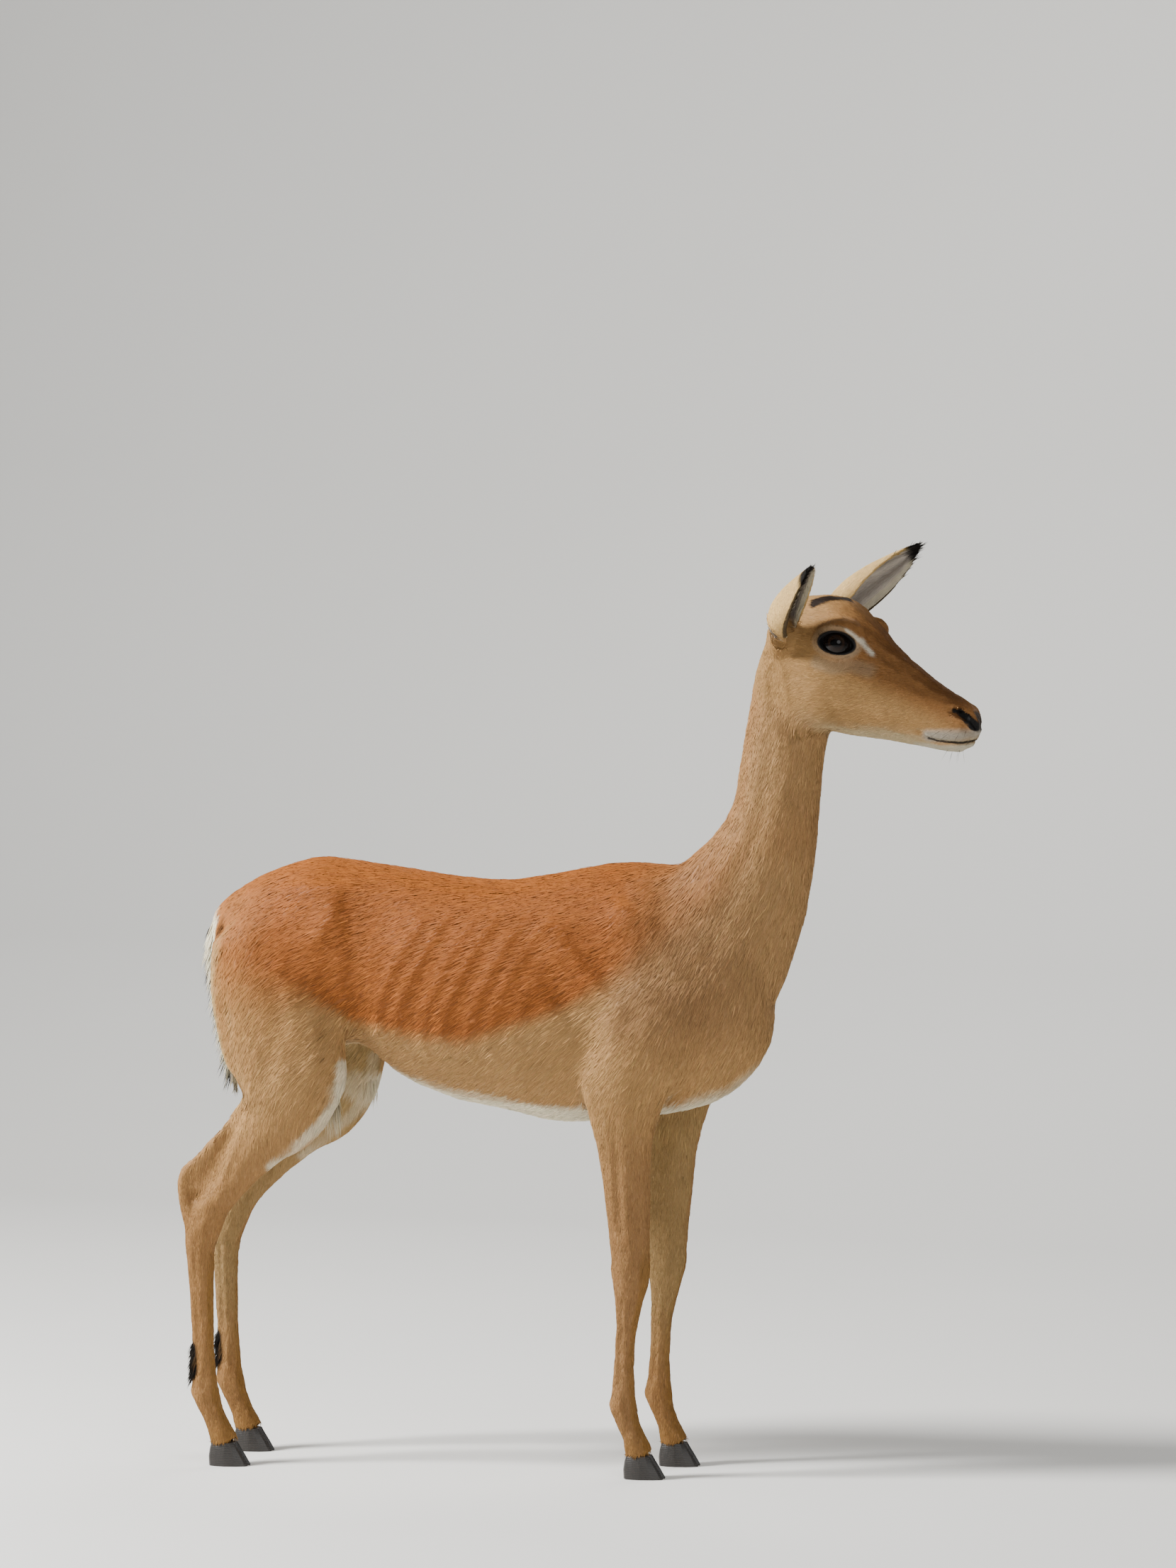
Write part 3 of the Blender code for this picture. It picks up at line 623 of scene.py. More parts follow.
# %% [markdown]
# ## Modelling the flesh
#
# The remesh gives the big masses. What makes an animal of them is small: the ridge of the brow, the
# line of the mouth, the tendons at the hock. Each is a stroke, as a sculptor would draw it: a path
# laid on the surface, a width, and a height that raises or sinks the skin along it, fading out to
# the sides as a bell curve. The paths are written for the animal's left and mirrored to its right.

# %% How a stroke raises the skin
STROKE_REACH = 2.6  # a stroke is felt this many times its width away


def ramp(value, start, end):
    """0 before start, 1 after end, and an even curve between them."""
    share = np.clip((value - start) / (end - start), 0, 1)
    return share * share * (3 - 2 * share)


def blend(first, second, share):
    """From first to second by a share, which may be one number for each row."""
    share = np.asarray(share)
    if share.ndim and max(np.ndim(first), np.ndim(second)) > share.ndim:
        share = share[..., None]
    return first * (1 - share) + second * share


def distance_to_path(points, path):
    """How far each point is from a path of straight runs."""
    nearest = np.full(len(points), np.inf)
    for start, end in zip(path, path[1:]):
        run = end - start
        share = np.clip((points - start) @ run / max(run @ run, 1e-12), 0, 1)
        nearest = np.minimum(nearest, np.linalg.norm(points - start - share[:, None] * run, axis=1))
    return nearest


def on_surface(path, tree):
    """The path with each point moved to the nearest place on a surface."""
    return np.array([tree.find_nearest(Vector(point))[0] for point in path])


def raised(points, path, width, tree):
    """How much of a stroke's height each point gets, from 0 to 1."""
    path = on_surface(path, tree)
    if len(path) == 1:
        path = np.concatenate([path, path])
    reach = STROKE_REACH * width
    inside = np.all((points > path.min(axis=0) - reach) & (points < path.max(axis=0) + reach), axis=1)
    share = np.zeros(len(points))
    share[inside] = np.exp(-((distance_to_path(points[inside], path) / width) ** 2))
    return share


def mirrored(path, side):
    """A path for the animal's left, brought to a side."""
    return np.array(path, dtype=float) * (1, side, 1)


print("a stroke is half as high at", round(math.sqrt(math.log(2)), 2), "of its width")

# %% [markdown]
# The face first. Its bones lie right under the skin: brow, cheek bone, jaw and nasal bone. Between
# them it sinks in, at the temple, behind the jaw and beside the nose. The mouth and the nostrils
# are deep narrow strokes, each with a soft swelling next to it, as a lip has.

# %% Strokes of the face
HEAD_STROKES = (  # path in the head's axes, width and height in mm
    ([(0.084, 0.05, 1.089), (0.104, 0.056, 1.0985), (0.128, 0.051, 1.09)], 5.0, 1.6),  # brow
    ([(0.092, 0.055, 1.047), (0.108, 0.056, 1.044), (0.128, 0.05, 1.051)], 3.0, -1.0),  # under the lid
    ([(0.129, 0.05, 1.06), (0.145, 0.04, 1.049)], 3.0, -1.2),  # tear line
    ([(0.066, 0.047, 1.046), (0.108, 0.047, 1.033), (0.155, 0.036, 1.017)], 8.0, 1.6),  # cheek bone
    ([(0.034, 0.036, 1.035), (0.044, 0.036, 0.99), (0.078, 0.034, 0.964), (0.125, 0.028, 0.953)],
     8.0, 1.8),  # edge of the jaw
    ([(0.014, 0.036, 1.035), (0.02, 0.036, 0.985), (0.052, 0.028, 0.948)], 8.0, -2.4),  # behind the jaw
    ([(0.1, 0.04, 1.005), (0.15, 0.032, 0.99)], 12.0, -1.5),  # hollow of the cheek
    ([(0.074, 0.042, 1.086)], 10.0, -1.8),  # temple
    ([(0.155, 0.014, 1.09), (0.205, 0.012, 1.042), (0.248, 0.011, 1.013)], 4.5, 0.9),  # nasal bone
    ([(0.16, 0.03, 1.062), (0.215, 0.023, 1.014)], 7.0, -1.3),  # beside the nose
    ([(0.226, 0.0215, 0.96), (0.252, 0.02, 0.96), (0.272, 0.013, 0.961)], 4.5, 1.2),  # upper lip
    ([(0.222, 0.0215, 0.952), (0.236, 0.0205, 0.948), (0.253, 0.018, 0.9465), (0.269, 0.012, 0.9465),
      (0.281, 0.0, 0.9495)], 1.5, -2.6),  # mouth
    ([(0.232, 0.02, 0.94), (0.254, 0.017, 0.938), (0.268, 0.011, 0.9385), (0.277, 0.0, 0.941)],
     4.0, 1.4),  # lower lip
    ([(0.222, 0.022, 0.954), (0.214, 0.024, 0.961)], 2.2, -1.0),  # crease at the mouth's corner
    ([(0.2575, 0.0205, 0.9865), (0.264, 0.0195, 0.985)], 3.1, -4.2),  # nostril, its round end
    ([(0.266, 0.019, 0.984), (0.274, 0.0165, 0.978), (0.28, 0.012, 0.971), (0.283, 0.009, 0.966)],
     3.2, -4.2),  # its slit
    ([(0.255, 0.017, 0.994), (0.268, 0.0145, 0.99), (0.28, 0.009, 0.981), (0.286, 0.006, 0.972)],
     3.0, 1.3),  # wing of the nose, over it
    ([(0.258, 0.0225, 0.979), (0.268, 0.02, 0.973), (0.277, 0.014, 0.964)], 2.8, 1.0),  # below it
    ([(0.288, 0.0, 0.976), (0.285, 0.0, 0.952)], 1.4, -0.9),  # groove of the upper lip
    ([(0.258, 0.0, 0.932)], 9.0, 1.2),  # chin
    ([(0.112, 0.0, 1.128), (0.155, 0.0, 1.094)], 7.0, -1.2),  # between the brows
    ([(0.086, 0.019, 1.128)], 10.0, 1.3),  # bosses of the forehead
)
print("strokes of the face:", len(HEAD_STROKES))

# %% [markdown]
# On the body a short coat shows every bone near the skin: shoulder blade, hip, seat bone, and in a
# lean female the ribs. The left legs stand a little otherwise than the right ones, so a stroke on a
# left leg moves with it: by one shift at the foot and another at the elbow or stifle, between two
# heights, and then fading out into the trunk.

# %% Strokes of the body
STEPS = {"fore": (0.02, 0.034), "hind": (-0.005, 0.008), "trunk": (0.0, 0.0)}
STEP_RISE, STEP_ROOT = (0.25, 0.45), (0.5, 0.66)

BODY_STROKES = (  # limb, path from the body's start, width and height in mm
    ("trunk", [(0.085, 0.045, 0.772), (0.13, 0.07, 0.69), (0.168, 0.075, 0.6)], 15, 2.6),  # blade
    ("trunk", [(0.128, 0.08, 0.72), (0.07, 0.09, 0.69)], 16, -1.6),  # hollow on the blade
    ("trunk", [(-0.052, 0.09, 0.705), (0.004, 0.105, 0.64), (0.042, 0.1, 0.56)], 14, -3.6),  # behind it
    ("trunk", [(-0.014, 0.08, 0.714), (0.03, 0.095, 0.666), (0.08, 0.1, 0.608)], 11, 4.4),  # its edge
    ("trunk", [(0.076, 0.035, 0.775), (0.09, 0.05, 0.722)], 9, -2.4),  # between withers and neck
    ("trunk", [(0.18, 0.06, 0.625)], 18, 2.5),  # point of the shoulder
    ("trunk", [(0.15, 0.07, 0.56), (0.115, 0.09, 0.525)], 12, -2.0),  # under it
    ("trunk", [(0.262, 0.036, 0.95), (0.247, 0.046, 0.85), (0.214, 0.056, 0.745),
               (0.19, 0.06, 0.68)], 11, -1.8),  # groove down the neck
    ("trunk", [(0.248, 0.04, 0.93), (0.228, 0.048, 0.85), (0.18, 0.06, 0.745)], 12, 1.1),  # its muscle
    ("trunk", [(-0.238, 0.09, 0.712)], 32, -6.5),  # hollow of the flank
    ("trunk", [(-0.3, 0.08, 0.498), (-0.262, 0.09, 0.524), (-0.24, 0.1, 0.57)], 9, 3.4),  # flank fold
    ("trunk", [(-0.318, 0.09, 0.47), (-0.282, 0.06, 0.48)], 10, 2.0),  # its lower end
    ("trunk", [(-0.292, 0.075, 0.77), (-0.312, 0.09, 0.69)], 13, 3.4),  # hip bone
    ("trunk", [(-0.27, 0.085, 0.735), (-0.262, 0.1, 0.64), (-0.262, 0.1, 0.59)], 14, -4.2),  # before it
    ("trunk", [(-0.452, 0.045, 0.708)], 14, 2.6),  # seat bone
    ("trunk", [(-0.446, 0.06, 0.68), (-0.436, 0.095, 0.59), (-0.424, 0.1, 0.49)], 8, -2.6),  # ham
    ("trunk", [(-0.39, 0.1, 0.7), (-0.36, 0.112, 0.6), (-0.376, 0.112, 0.52)], 12, -1.8),  # thigh
    ("trunk", [(-0.3, 0.1, 0.66), (-0.296, 0.105, 0.56)], 14, -1.6),  # before the thigh
    ("hind", [(-0.32, 0.1, 0.53)], 15, 2.6),  # stifle
    ("hind", [(-0.402, 0.1, 0.5), (-0.42, 0.096, 0.44), (-0.452, 0.088, 0.37)], 4.5, 1.5),  # shin
    ("hind", [(-0.42, 0.092, 0.47), (-0.452, 0.082, 0.42), (-0.48, 0.078, 0.375)], 7, -2.0),  # heel
    ("hind", [(-0.42, 0.06, 0.47), (-0.452, 0.06, 0.42), (-0.48, 0.06, 0.375)], 7, -2.0),
    ("hind", [(-0.474, 0.086, 0.34)], 8, 1.8),  # ankle, outside
    ("hind", [(-0.474, 0.05, 0.34)], 8, 1.8),  # and inside
    ("hind", [(-0.488, 0.084, 0.3)], 6, -1.2),  # under it
    ("hind", [(-0.4895, 0.082, 0.275), (-0.4875, 0.081, 0.18), (-0.486, 0.081, 0.12)], 3.4, -1.7),  # groove
    ("hind", [(-0.4895, 0.052, 0.275), (-0.4875, 0.053, 0.18), (-0.486, 0.053, 0.12)], 3.4, -1.7),
    ("hind", [(-0.497, 0.067, 0.094)], 8, 2.2),  # back of the fetlock
    ("hind", [(-0.48, 0.084, 0.095)], 7, 1.2),  # its side
    ("hind", [(-0.458, 0.067, 0.085), (-0.444, 0.067, 0.036)], 3.0, -2.4),  # between the toes, ahead
    ("hind", [(-0.484, 0.067, 0.066), (-0.472, 0.067, 0.036)], 3.0, -2.6),  # and behind
    ("fore", [(0.03, 0.09, 0.512), (0.04, 0.09, 0.49)], 10, 3.2),  # elbow
    ("fore", [(0.085, 0.1, 0.47), (0.085, 0.092, 0.38), (0.084, 0.084, 0.31)], 7, 1.4),  # muscle
    ("fore", [(0.07, 0.094, 0.46), (0.07, 0.088, 0.38), (0.074, 0.082, 0.32)], 5, -1.5),  # behind it
    ("fore", [(0.11, 0.06, 0.272)], 10, 1.4),  # knee, ahead
    ("fore", [(0.084, 0.083, 0.282)], 7, 1.3),  # its side, above
    ("fore", [(0.084, 0.083, 0.252)], 6, 1.0),  # and below
    ("fore", [(0.06, 0.06, 0.268)], 7, 1.6),  # its back
    ("fore", [(0.0745, 0.077, 0.23), (0.0705, 0.074, 0.18), (0.069, 0.074, 0.12)], 3.2, -1.6),  # grooves
    ("fore", [(0.0745, 0.043, 0.23), (0.0705, 0.046, 0.18), (0.069, 0.046, 0.12)], 3.2, -1.6),
    ("fore", [(0.055, 0.06, 0.096)], 8, 2.2),  # back of the fetlock
    ("fore", [(0.0735, 0.078, 0.096)], 7, 1.2),  # its side
    ("fore", [(0.092, 0.06, 0.085), (0.11, 0.06, 0.036)], 3.0, -2.4),  # between the toes, ahead
    ("fore", [(0.068, 0.06, 0.066), (0.076, 0.06, 0.036)], 3.0, -2.6),  # and behind
)
LAST_RIB = -0.237  # where it starts, ahead of the flank's hollow
RIB_STEP = 0.0315
RIB_WIDTH = 8.5  # in mm
RIB_HEIGHTS = (2.6, 3.1, 2.6, 3.2, 2.3, 1.9, 0.9)  # in mm, from the last rib forwards
RIB_SHIFTS = (0.0, -0.003, 0.003, -0.002, 0.004, 0.0, 0.002)  # no two gaps are quite alike


def ribs():
    """Each rib leans back as it comes down and turns forward again at its lower end."""
    for number, height in enumerate(RIB_HEIGHTS):
        x = LAST_RIB + number * RIB_STEP + RIB_SHIFTS[number]
        path = [(x + 0.055, 0.08, 0.715), (x + 0.03, 0.1, 0.665), (x, 0.11, 0.6)]
        yield "trunk", path + [(x - 0.008, 0.11, 0.56), (x + 0.002, 0.1, 0.54)], RIB_WIDTH, height


def stepped(path, limb, side):
    """A body stroke on one side, moved as far as that leg is moved."""
    path = mirrored(path, side)
    if side > 0:
        foot, top = STEPS[limb]
        share = ramp(path[:, 2], *STEP_RISE)
        path[:, 0] += blend(foot, top, share) * (1 - ramp(path[:, 2], *STEP_ROOT))
    return path + np.array(BODY)


def head_path(path, side):
    """A stroke of the face on one side, in the frame."""
    return np.array([HEAD @ Vector(point) for point in mirrored(path, side)])


def modelled(thing):
    """Moves the points of the skin along their normals by all the strokes."""
    points, normals = points_of(thing), normals_of(thing)
    tree = BVHTree.FromObject(thing, bpy.context.evaluated_depsgraph_get())
    height = np.zeros(len(points))
    for side in SIDES:
        for path, width, high in HEAD_STROKES:
            share = raised(points, head_path(path, side), width / 1000, tree)
            middle_line = all(point[1] == 0 for point in path)
            height += share * high / 1000 * (0.5 if middle_line else 1.0)
        for limb, path, width, high in (*BODY_STROKES, *ribs()):
            height += raised(points, stepped(path, limb, side), width / 1000, tree) * high / 1000
    set_points(thing, points + normals * height[:, None])
    print("strokes move the skin from", round(float(height.min()) * 1000, 1), "to",
          round(float(height.max()) * 1000, 1), "mm")


modelled(skin)

# %% [markdown]
# The tips of the coat reach the solids' outside, so the skin lies as much deeper as the hair is
# thick there: about 4 mm on the trunk and the neck, 2 mm on the legs, 1 mm on the face. Numpy reads
# all the points at once, works out a depth for each from its place, and moves it in along its normal.

# %% Sinking the skin by the coat's depth
FACE_DEPTH, EAR_DEPTH, NECK_DEPTH, TRUNK_DEPTH, LEG_DEPTH = 0.0011, 0.0003, 0.004, 0.0042, 0.002
HOOF_DEPTH = 0.0006  # where the coat ends at the hoof's upper edge
HOOF_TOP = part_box("hoof_fore_left_inner")[1].z


def coat_depth(points):
    """How thick the coat is at each point."""
    place = in_head(points)
    height = points[:, 2]
    depth = blend(LEG_DEPTH, TRUNK_DEPTH, ramp(height, 0.4, 0.56))
    depth = blend(depth, NECK_DEPTH, ramp(height, 0.8, 0.9))
    face = ramp(place[:, 0] + (height - 1.0) * 0.5, 0.035, 0.095) * ramp(height, 0.9, 0.95)
    depth = blend(depth, FACE_DEPTH, face)
    depth = blend(HOOF_DEPTH, depth, ramp(height, 0.036, 0.06))
    return np.where(near_ear(points), EAR_DEPTH, depth)


points, edges = points_of(skin), edges_of(skin)
points -= normals_of(skin) * coat_depth(points)[:, None]
points = eased(points, edges, 1)
lowest = points[:, 2].min()
points[:, 2] -= (lowest - HOOF_TOP) * (1 - ramp(points[:, 2], lowest, lowest + 0.012))
set_points(skin, points)
print("skin sunk by", round(float(coat_depth(points).mean()) * 1000, 2), "mm in the mean")

# %% [markdown]
# The voxels gave the flank as many faces for each square centimetre as the belly. Decimate takes
# edges away where that changes the shape least, so the triangles stay on the bones and the face.

# %% Fewer triangles where the skin is flat
SKIN_TRIANGLES = 190000
fewer = skin.modifiers.new("fewer", "DECIMATE")
fewer.ratio = SKIN_TRIANGLES / len(skin.data.polygons)
settled(skin)
skin.data.shade_smooth()
print("skin has", len(skin.data.polygons), "triangles")

# %% [markdown]
# ## Eyes and lids
#
# An antelope's eye is a large dark ball, set on the side of the head under a strong brow. The
# clear front, the cornea, stands a little proud of the ball. The iris is a very dark brown and its
# pupil lies level, wider than high. The ball is a sphere turned so that its poles lie on the line
# it looks along, which puts even rings of faces round the pupil. Each point also stores its place
# on those axes as an attribute, and the material draws pupil and iris from that.

# %% Eyeballs
CORNEA_RISE = 0.0012
CORNEA_HALF = 0.0125  # half the breadth of the clear front
PUPIL = (0.0074, 0.0048)  # half its breadth and half its height
IRIS_RAGGED = 0.0016  # how far the iris's fibres blur its rings
IRIS_STOPS = (  # colours from the middle of the eye outwards
    (0.0, "120a07"), (0.3, "190f09"), (0.55, "22150d"), (0.64, "0c0706"), (0.8, "100b09"),
    (1.0, "1c1613"),
)


def eyeball(side, word):
    """A ball with a raised clear front, looking along the eye's own line."""
    front, upper, aim = eye_axes(side)
    turn = Matrix((front, upper, aim)).transposed().to_4x4()
    bm = bmesh.new()
    bmesh.ops.create_uvsphere(bm, u_segments=64, v_segments=40, radius=EYE_RADIUS)
    gaze = []
    for vert in bm.verts:
        off = math.hypot(vert.co.x, vert.co.y)
        if vert.co.z > 0 and off < CORNEA_HALF:
            vert.co.z += CORNEA_RISE * (1 - (off / CORNEA_HALF) ** 2) ** 1.5
        gaze.append(vert.co.copy())
    bmesh.ops.transform(bm, matrix=Matrix.Translation(EYES[side]) @ turn, verts=bm.verts)
    bmesh.ops.recalc_face_normals(bm, faces=bm.faces)
    ball = made(f"eyeball_{word}", bm)
    stored = ball.data.attributes.new("gaze", "FLOAT_VECTOR", "POINT")
    stored.data.foreach_set("vector", [value for place in gaze for value in place])
    ball.data.shade_smooth()
    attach(ball, "root")
    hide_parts(f"eye_{word}")
    return ball


def coloured(ramp_node, stops):
    """Gives a colour ramp its stops."""
    while len(ramp_node.color_ramp.elements) < len(stops):
        ramp_node.color_ramp.elements.new(0.5)
    for element, (place, code) in zip(ramp_node.color_ramp.elements, stops):
        element.position = place
        element.color = (*colour(code), 1)


def eye_material():
    """A wet cornea over a dark iris: smooth, with an index near water's, which gives a small sharp
    light on a deep dark ball. The iris is drawn from each point's place on the eye's own axes."""
    wet, tree, shader = material(
        "wet_cornea_over_dark_iris", Roughness=0.06, IOR=1.34, Specular_IOR_Level=0.36
    )
    gaze = add_node(tree, "Attribute", attribute_name="gaze").outputs["Vector"]
    flat = add_node(tree, "VectorMath", {0: gaze, 1: (1, 1, 0)}, operation="MULTIPLY").outputs[0]
    off = add_node(tree, "VectorMath", {0: flat}, operation="LENGTH").outputs["Value"]
    fibres = add_node(tree, "TexNoise", {"Vector": gaze, "Scale": 900.0, "Detail": 4.0})
    blur = {0: fibres.outputs["Fac"], 1: IRIS_RAGGED}
    wobble = add_node(tree, "Math", blur, operation="MULTIPLY")
    ragged = add_node(tree, "Math", {0: off, 1: wobble.outputs[0]}, operation="ADD").outputs[0]
    share = add_node(tree, "Math", {0: ragged, 1: EYE_RADIUS}, operation="DIVIDE").outputs[0]
    ring = add_node(tree, "ValToRGB", {"Fac": share})
    coloured(ring, IRIS_STOPS)
    pupil_shape = {0: flat, 1: (1 / PUPIL[0], 1 / PUPIL[1], 0)}
    pupil = add_node(tree, "VectorMath", pupil_shape, operation="MULTIPLY").outputs[0]
    reach = add_node(tree, "VectorMath", {0: pupil}, operation="LENGTH").outputs["Value"]
    edge = add_node(tree, "MapRange", {"Value": reach, "From Min": 0.92, "From Max": 1.08})
    seen = {0: edge.outputs["Result"], 6: (*colour("050404"), 1), 7: ring.outputs["Color"]}
    tint = add_node(tree, "Mix", seen, data_type="RGBA")
    tree.links.new(tint.outputs[2], shader.inputs["Base Color"])
    return wet


EYE_MATERIAL = eye_material()
EYEBALLS = [eyeball(side, SIDE_WORD[side]) for side in SIDES]
for ball in EYEBALLS:
    ball.data.materials.append(EYE_MATERIAL)
print("eyeballs:", [len(ball.data.polygons) for ball in EYEBALLS], "faces")

# %% [markdown]
# The lids are a ring of their own, laid over the skin. Its inner edge dips behind the rim and
# touches the ball, its rim stands a little off the ball as a real lid does, and its outer edge
# runs out into the skin. The skin under the opening is pressed in behind the ball. The ring is
# drawn as rows of points round the almond of the opening, and each row is bridged to the next.

# %% Lids
LID_HALF = 0.022  # half the length of the opening
LID_UP, LID_DOWN = 0.0139, 0.0128  # how far it opens above and below the line of its corners
LID_REACH = (0.025, 0.0215)  # the rim lies on an oval that reaches this far ahead and up
BEHIND_LIDS = 0.006  # how far the skin is pressed in behind the rim
LID_COLUMNS = 96
LID_CALM = 9  # columns on each side that a place is compared with
LID_WALL = 0.0006
LID_CORNER = 1.15  # over 1 draws the opening's two corners out to points
BALL_FALL = 0.00045  # how much the lids turn back over the ball, for each mm past the rim
EYE_BACK = -0.012  # what lies further in than this belongs to the far side of the head
LID_COVERS = (1.3, 1.42)  # the skin rises to the lids between these growths of the opening
LID_ROWS = (  # mm out from the rim, share of the way to the skin, mm of lift
    (-3.2, 0.0, -4.8), (-1.5, 0.0, -2.2), (-0.5, 0.0, -0.7), (0.0, 0.0, 0.0), (0.5, 0.0, 0.45),
    (1.2, 0.0, 0.62), (2.0, 0.05, 0.5), (3.0, 0.25, 0.35), (4.2, 0.52, 0.0), (5.4, 0.8, -0.45),
    (6.6, 0.95, -0.1), (8.0, 1.0, 0.25), (10.0, 1.0, 0.1), (12.5, 1.0, -1.2),
)


def almond(turn):
    """A point of the rim and its outward direction, ahead and up from the eye's centre."""
    def at(angle):
        rise = math.sin(angle)
        high = LID_UP if rise > 0 else LID_DOWN
        return Vector((LID_HALF * math.cos(angle), high * math.copysign(abs(rise) ** LID_CORNER, rise)))

    step = 0.02
    along = at(turn + step) - at(turn - step)
    return at(turn), Vector((along.y, -along.x)).normalized()


def lid_ring(side, tree):
    """The rows of points of one eye's lids, from behind the rim out into the skin."""
    front, upper, aim = eye_axes(side)
    centre = EYES[side]
    rows = []
    for out, share, lift in LID_ROWS:
        flats, rim_depths, skin_depths = [], [], []
        for column in range(LID_COLUMNS):
            rim, outward = almond(math.tau * column / LID_COLUMNS)
            flat = rim + outward * out / 1000
            fall = (rim.x / LID_REACH[0]) ** 2 + (rim.y / LID_REACH[1]) ** 2
            rim_depth = EYE_RADIUS * math.sqrt(max(0.05, 1 - fall))
            flats.append(centre + front * flat.x + upper * flat.y)
            rim_depths.append(rim_depth - max(0.0, out - 1.0) * BALL_FALL)
            hit = tree.ray_cast(flats[-1] + aim * 0.06, -aim, 0.09)[0]
            skin_depths.append((hit - centre).dot(aim) if hit else rim_depths[-1])
        around = [np.roll(skin_depths, step) for step in range(-LID_CALM, LID_CALM + 1)]
        skin_depths = np.maximum(skin_depths, np.median(around, axis=0))  # fills narrow pits
        depths = np.array(rim_depths) * (1 - share) + skin_depths * share + lift / 1000
        rows.append([flat + aim * depth for flat, depth in zip(flats, depths.tolist())])
    return rows


def lid_piece(side, rows):
    """The lids as a piece: each row bridged to the next, with a thin wall."""
    bm = bmesh.new()
    loops = []
    for row in rows:
        verts = [bm.verts.new(point) for point in row]
        loops.append([bm.edges.new(pair) for pair in zip(verts, verts[1:] + verts[:1])])
    for low, high in zip(loops, loops[1:]):
        bmesh.ops.bridge_loops(bm, edges=low + high)
    bmesh.ops.recalc_face_normals(bm, faces=bm.faces)
    outwards = sum((face.normal for face in bm.faces), Vector())
    if outwards.dot(eye_axes(side)[2]) < 0:
        bmesh.ops.reverse_faces(bm, faces=bm.faces)
    lids = made(f"eyelids_{SIDE_WORD[side]}", bm)
    wall = lids.modifiers.new("wall", "SOLIDIFY")
    wall.thickness = LID_WALL
    wall.offset = -1.0
    settled(lids)
    lids.data.shade_smooth()
    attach(lids, "root")
    return lids


def eye_place(points, side):
    """Points as seen by an eye: ahead, up and out from its centre."""
    axes = np.array([np.array(axis) for axis in eye_axes(side)])
    return (points - np.array(EYES[side])) @ axes.T


def lid_distance(points, side):
    """How many times the rim's almond would have to grow to reach each point, and its depth."""
    place = eye_place(points, side)
    high = np.where(place[:, 1] > 0, LID_UP, LID_DOWN)
    return np.hypot(place[:, 0] / LID_HALF, place[:, 1] / high), place[:, 2]


skin_tree = BVHTree.FromObject(skin, bpy.context.evaluated_depsgraph_get())
LID_RINGS = {side: lid_ring(side, skin_tree) for side in SIDES}
LIDS = [lid_piece(side, LID_RINGS[side]) for side in SIDES]
points = points_of(skin)
for side in SIDES:
    grown, depth = lid_distance(points, side)
    within = (grown < LID_COVERS[1]) & (depth > EYE_BACK)
    ahead, up, depth = eye_place(points[within], side).T
    share = 1 - ramp(grown[within], *LID_COVERS)
    bulge = 1 - (ahead / LID_REACH[0]) ** 2 - (up / LID_REACH[1]) ** 2
    low = np.minimum(depth, EYE_RADIUS * np.sqrt(np.maximum(0.05, bulge)) - BEHIND_LIDS)
    points[within] += np.outer((low - depth) * share, np.array(eye_axes(side)[2]))
set_points(skin, points)
print("lids:", [len(thing.data.polygons) for thing in LIDS], "faces")

# %% [markdown]
# ## Hooves
#
# Each foot has two claws of horn, the same stuff as a fingernail, grown in rings that show as fine
# level ridges. The solids have their shape and size. A copy of each gets its hard edges rounded by
# a Bevel, which catches the light along them, and the horn's ridges come from the material.

# %% Horn
HORN_RINGS = 0.0022  # between the growth rings
RINGS_TO_SCALE = 0.314  # a wave texture of this scale has one ring to the metre
HORN_SHADES = ((0.0, "17130f"), (0.55, "2b2622"), (1.0, "4a423a"))
HOOF_EDGE = 0.0011  # breadth of the claws' rounded edges


def horn_material():
    """Hoof horn: dark, hard, slightly glossy where the ground polishes it. Its index is 1.55."""
    horn, tree, shader = material("hoof_horn", IOR=1.55)
    place = add_node(tree, "TexCoord").outputs["Object"]
    long_grain = add_node(tree, "Mapping", {"Vector": place, "Scale": (1, 1, 0.15)}).outputs[0]
    grain = add_node(tree, "TexNoise", {"Vector": long_grain, "Scale": 700.0, "Detail": 5.0})
    rings = add_node(
        tree, "TexWave",
        {"Vector": place, "Scale": RINGS_TO_SCALE / HORN_RINGS, "Distortion": 2.0, "Detail": 2.0},
        bands_direction="Z",
    )
    both = {0: grain.outputs["Fac"], 1: rings.outputs["Fac"]}
    height = add_node(tree, "Math", both, operation="MULTIPLY").outputs[0]
    tone = add_node(tree, "ValToRGB", {"Fac": height})
    coloured(tone, HORN_SHADES)
    gloss = {"Value": grain.outputs["Fac"], "To Min": 0.3, "To Max": 0.55}
    rough = add_node(tree, "MapRange", gloss)
    bump = add_node(tree, "Bump", {"Height": height, "Strength": 0.5, "Distance": 0.0006})
    tree.links.new(tone.outputs["Color"], shader.inputs["Base Color"])
    tree.links.new(rough.outputs["Result"], shader.inputs["Roughness"])
    tree.links.new(bump.outputs["Normal"], shader.inputs["Normal"])
    return horn


def hoof(node, horn):
    """One claw: a node's copy with its edges rounded."""
    bm = bmesh.new()
    bm.from_mesh(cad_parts[node].data)
    bmesh.ops.remove_doubles(bm, verts=bm.verts, dist=1e-5)
    bmesh.ops.dissolve_limit(bm, angle_limit=math.radians(2), verts=bm.verts, edges=bm.edges)
    claw = made(node.replace("hoof", "claw"), bm)
    rounded = claw.modifiers.new("rounded", "BEVEL")
    rounded.width = HOOF_EDGE
    rounded.segments = 3
    rounded.profile = 0.5
    rounded.angle_limit = math.radians(20)
    settled(claw)
    claw.data.shade_smooth()
    claw.data.materials.append(horn)
    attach(claw, "root")
    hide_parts(node)
    return claw


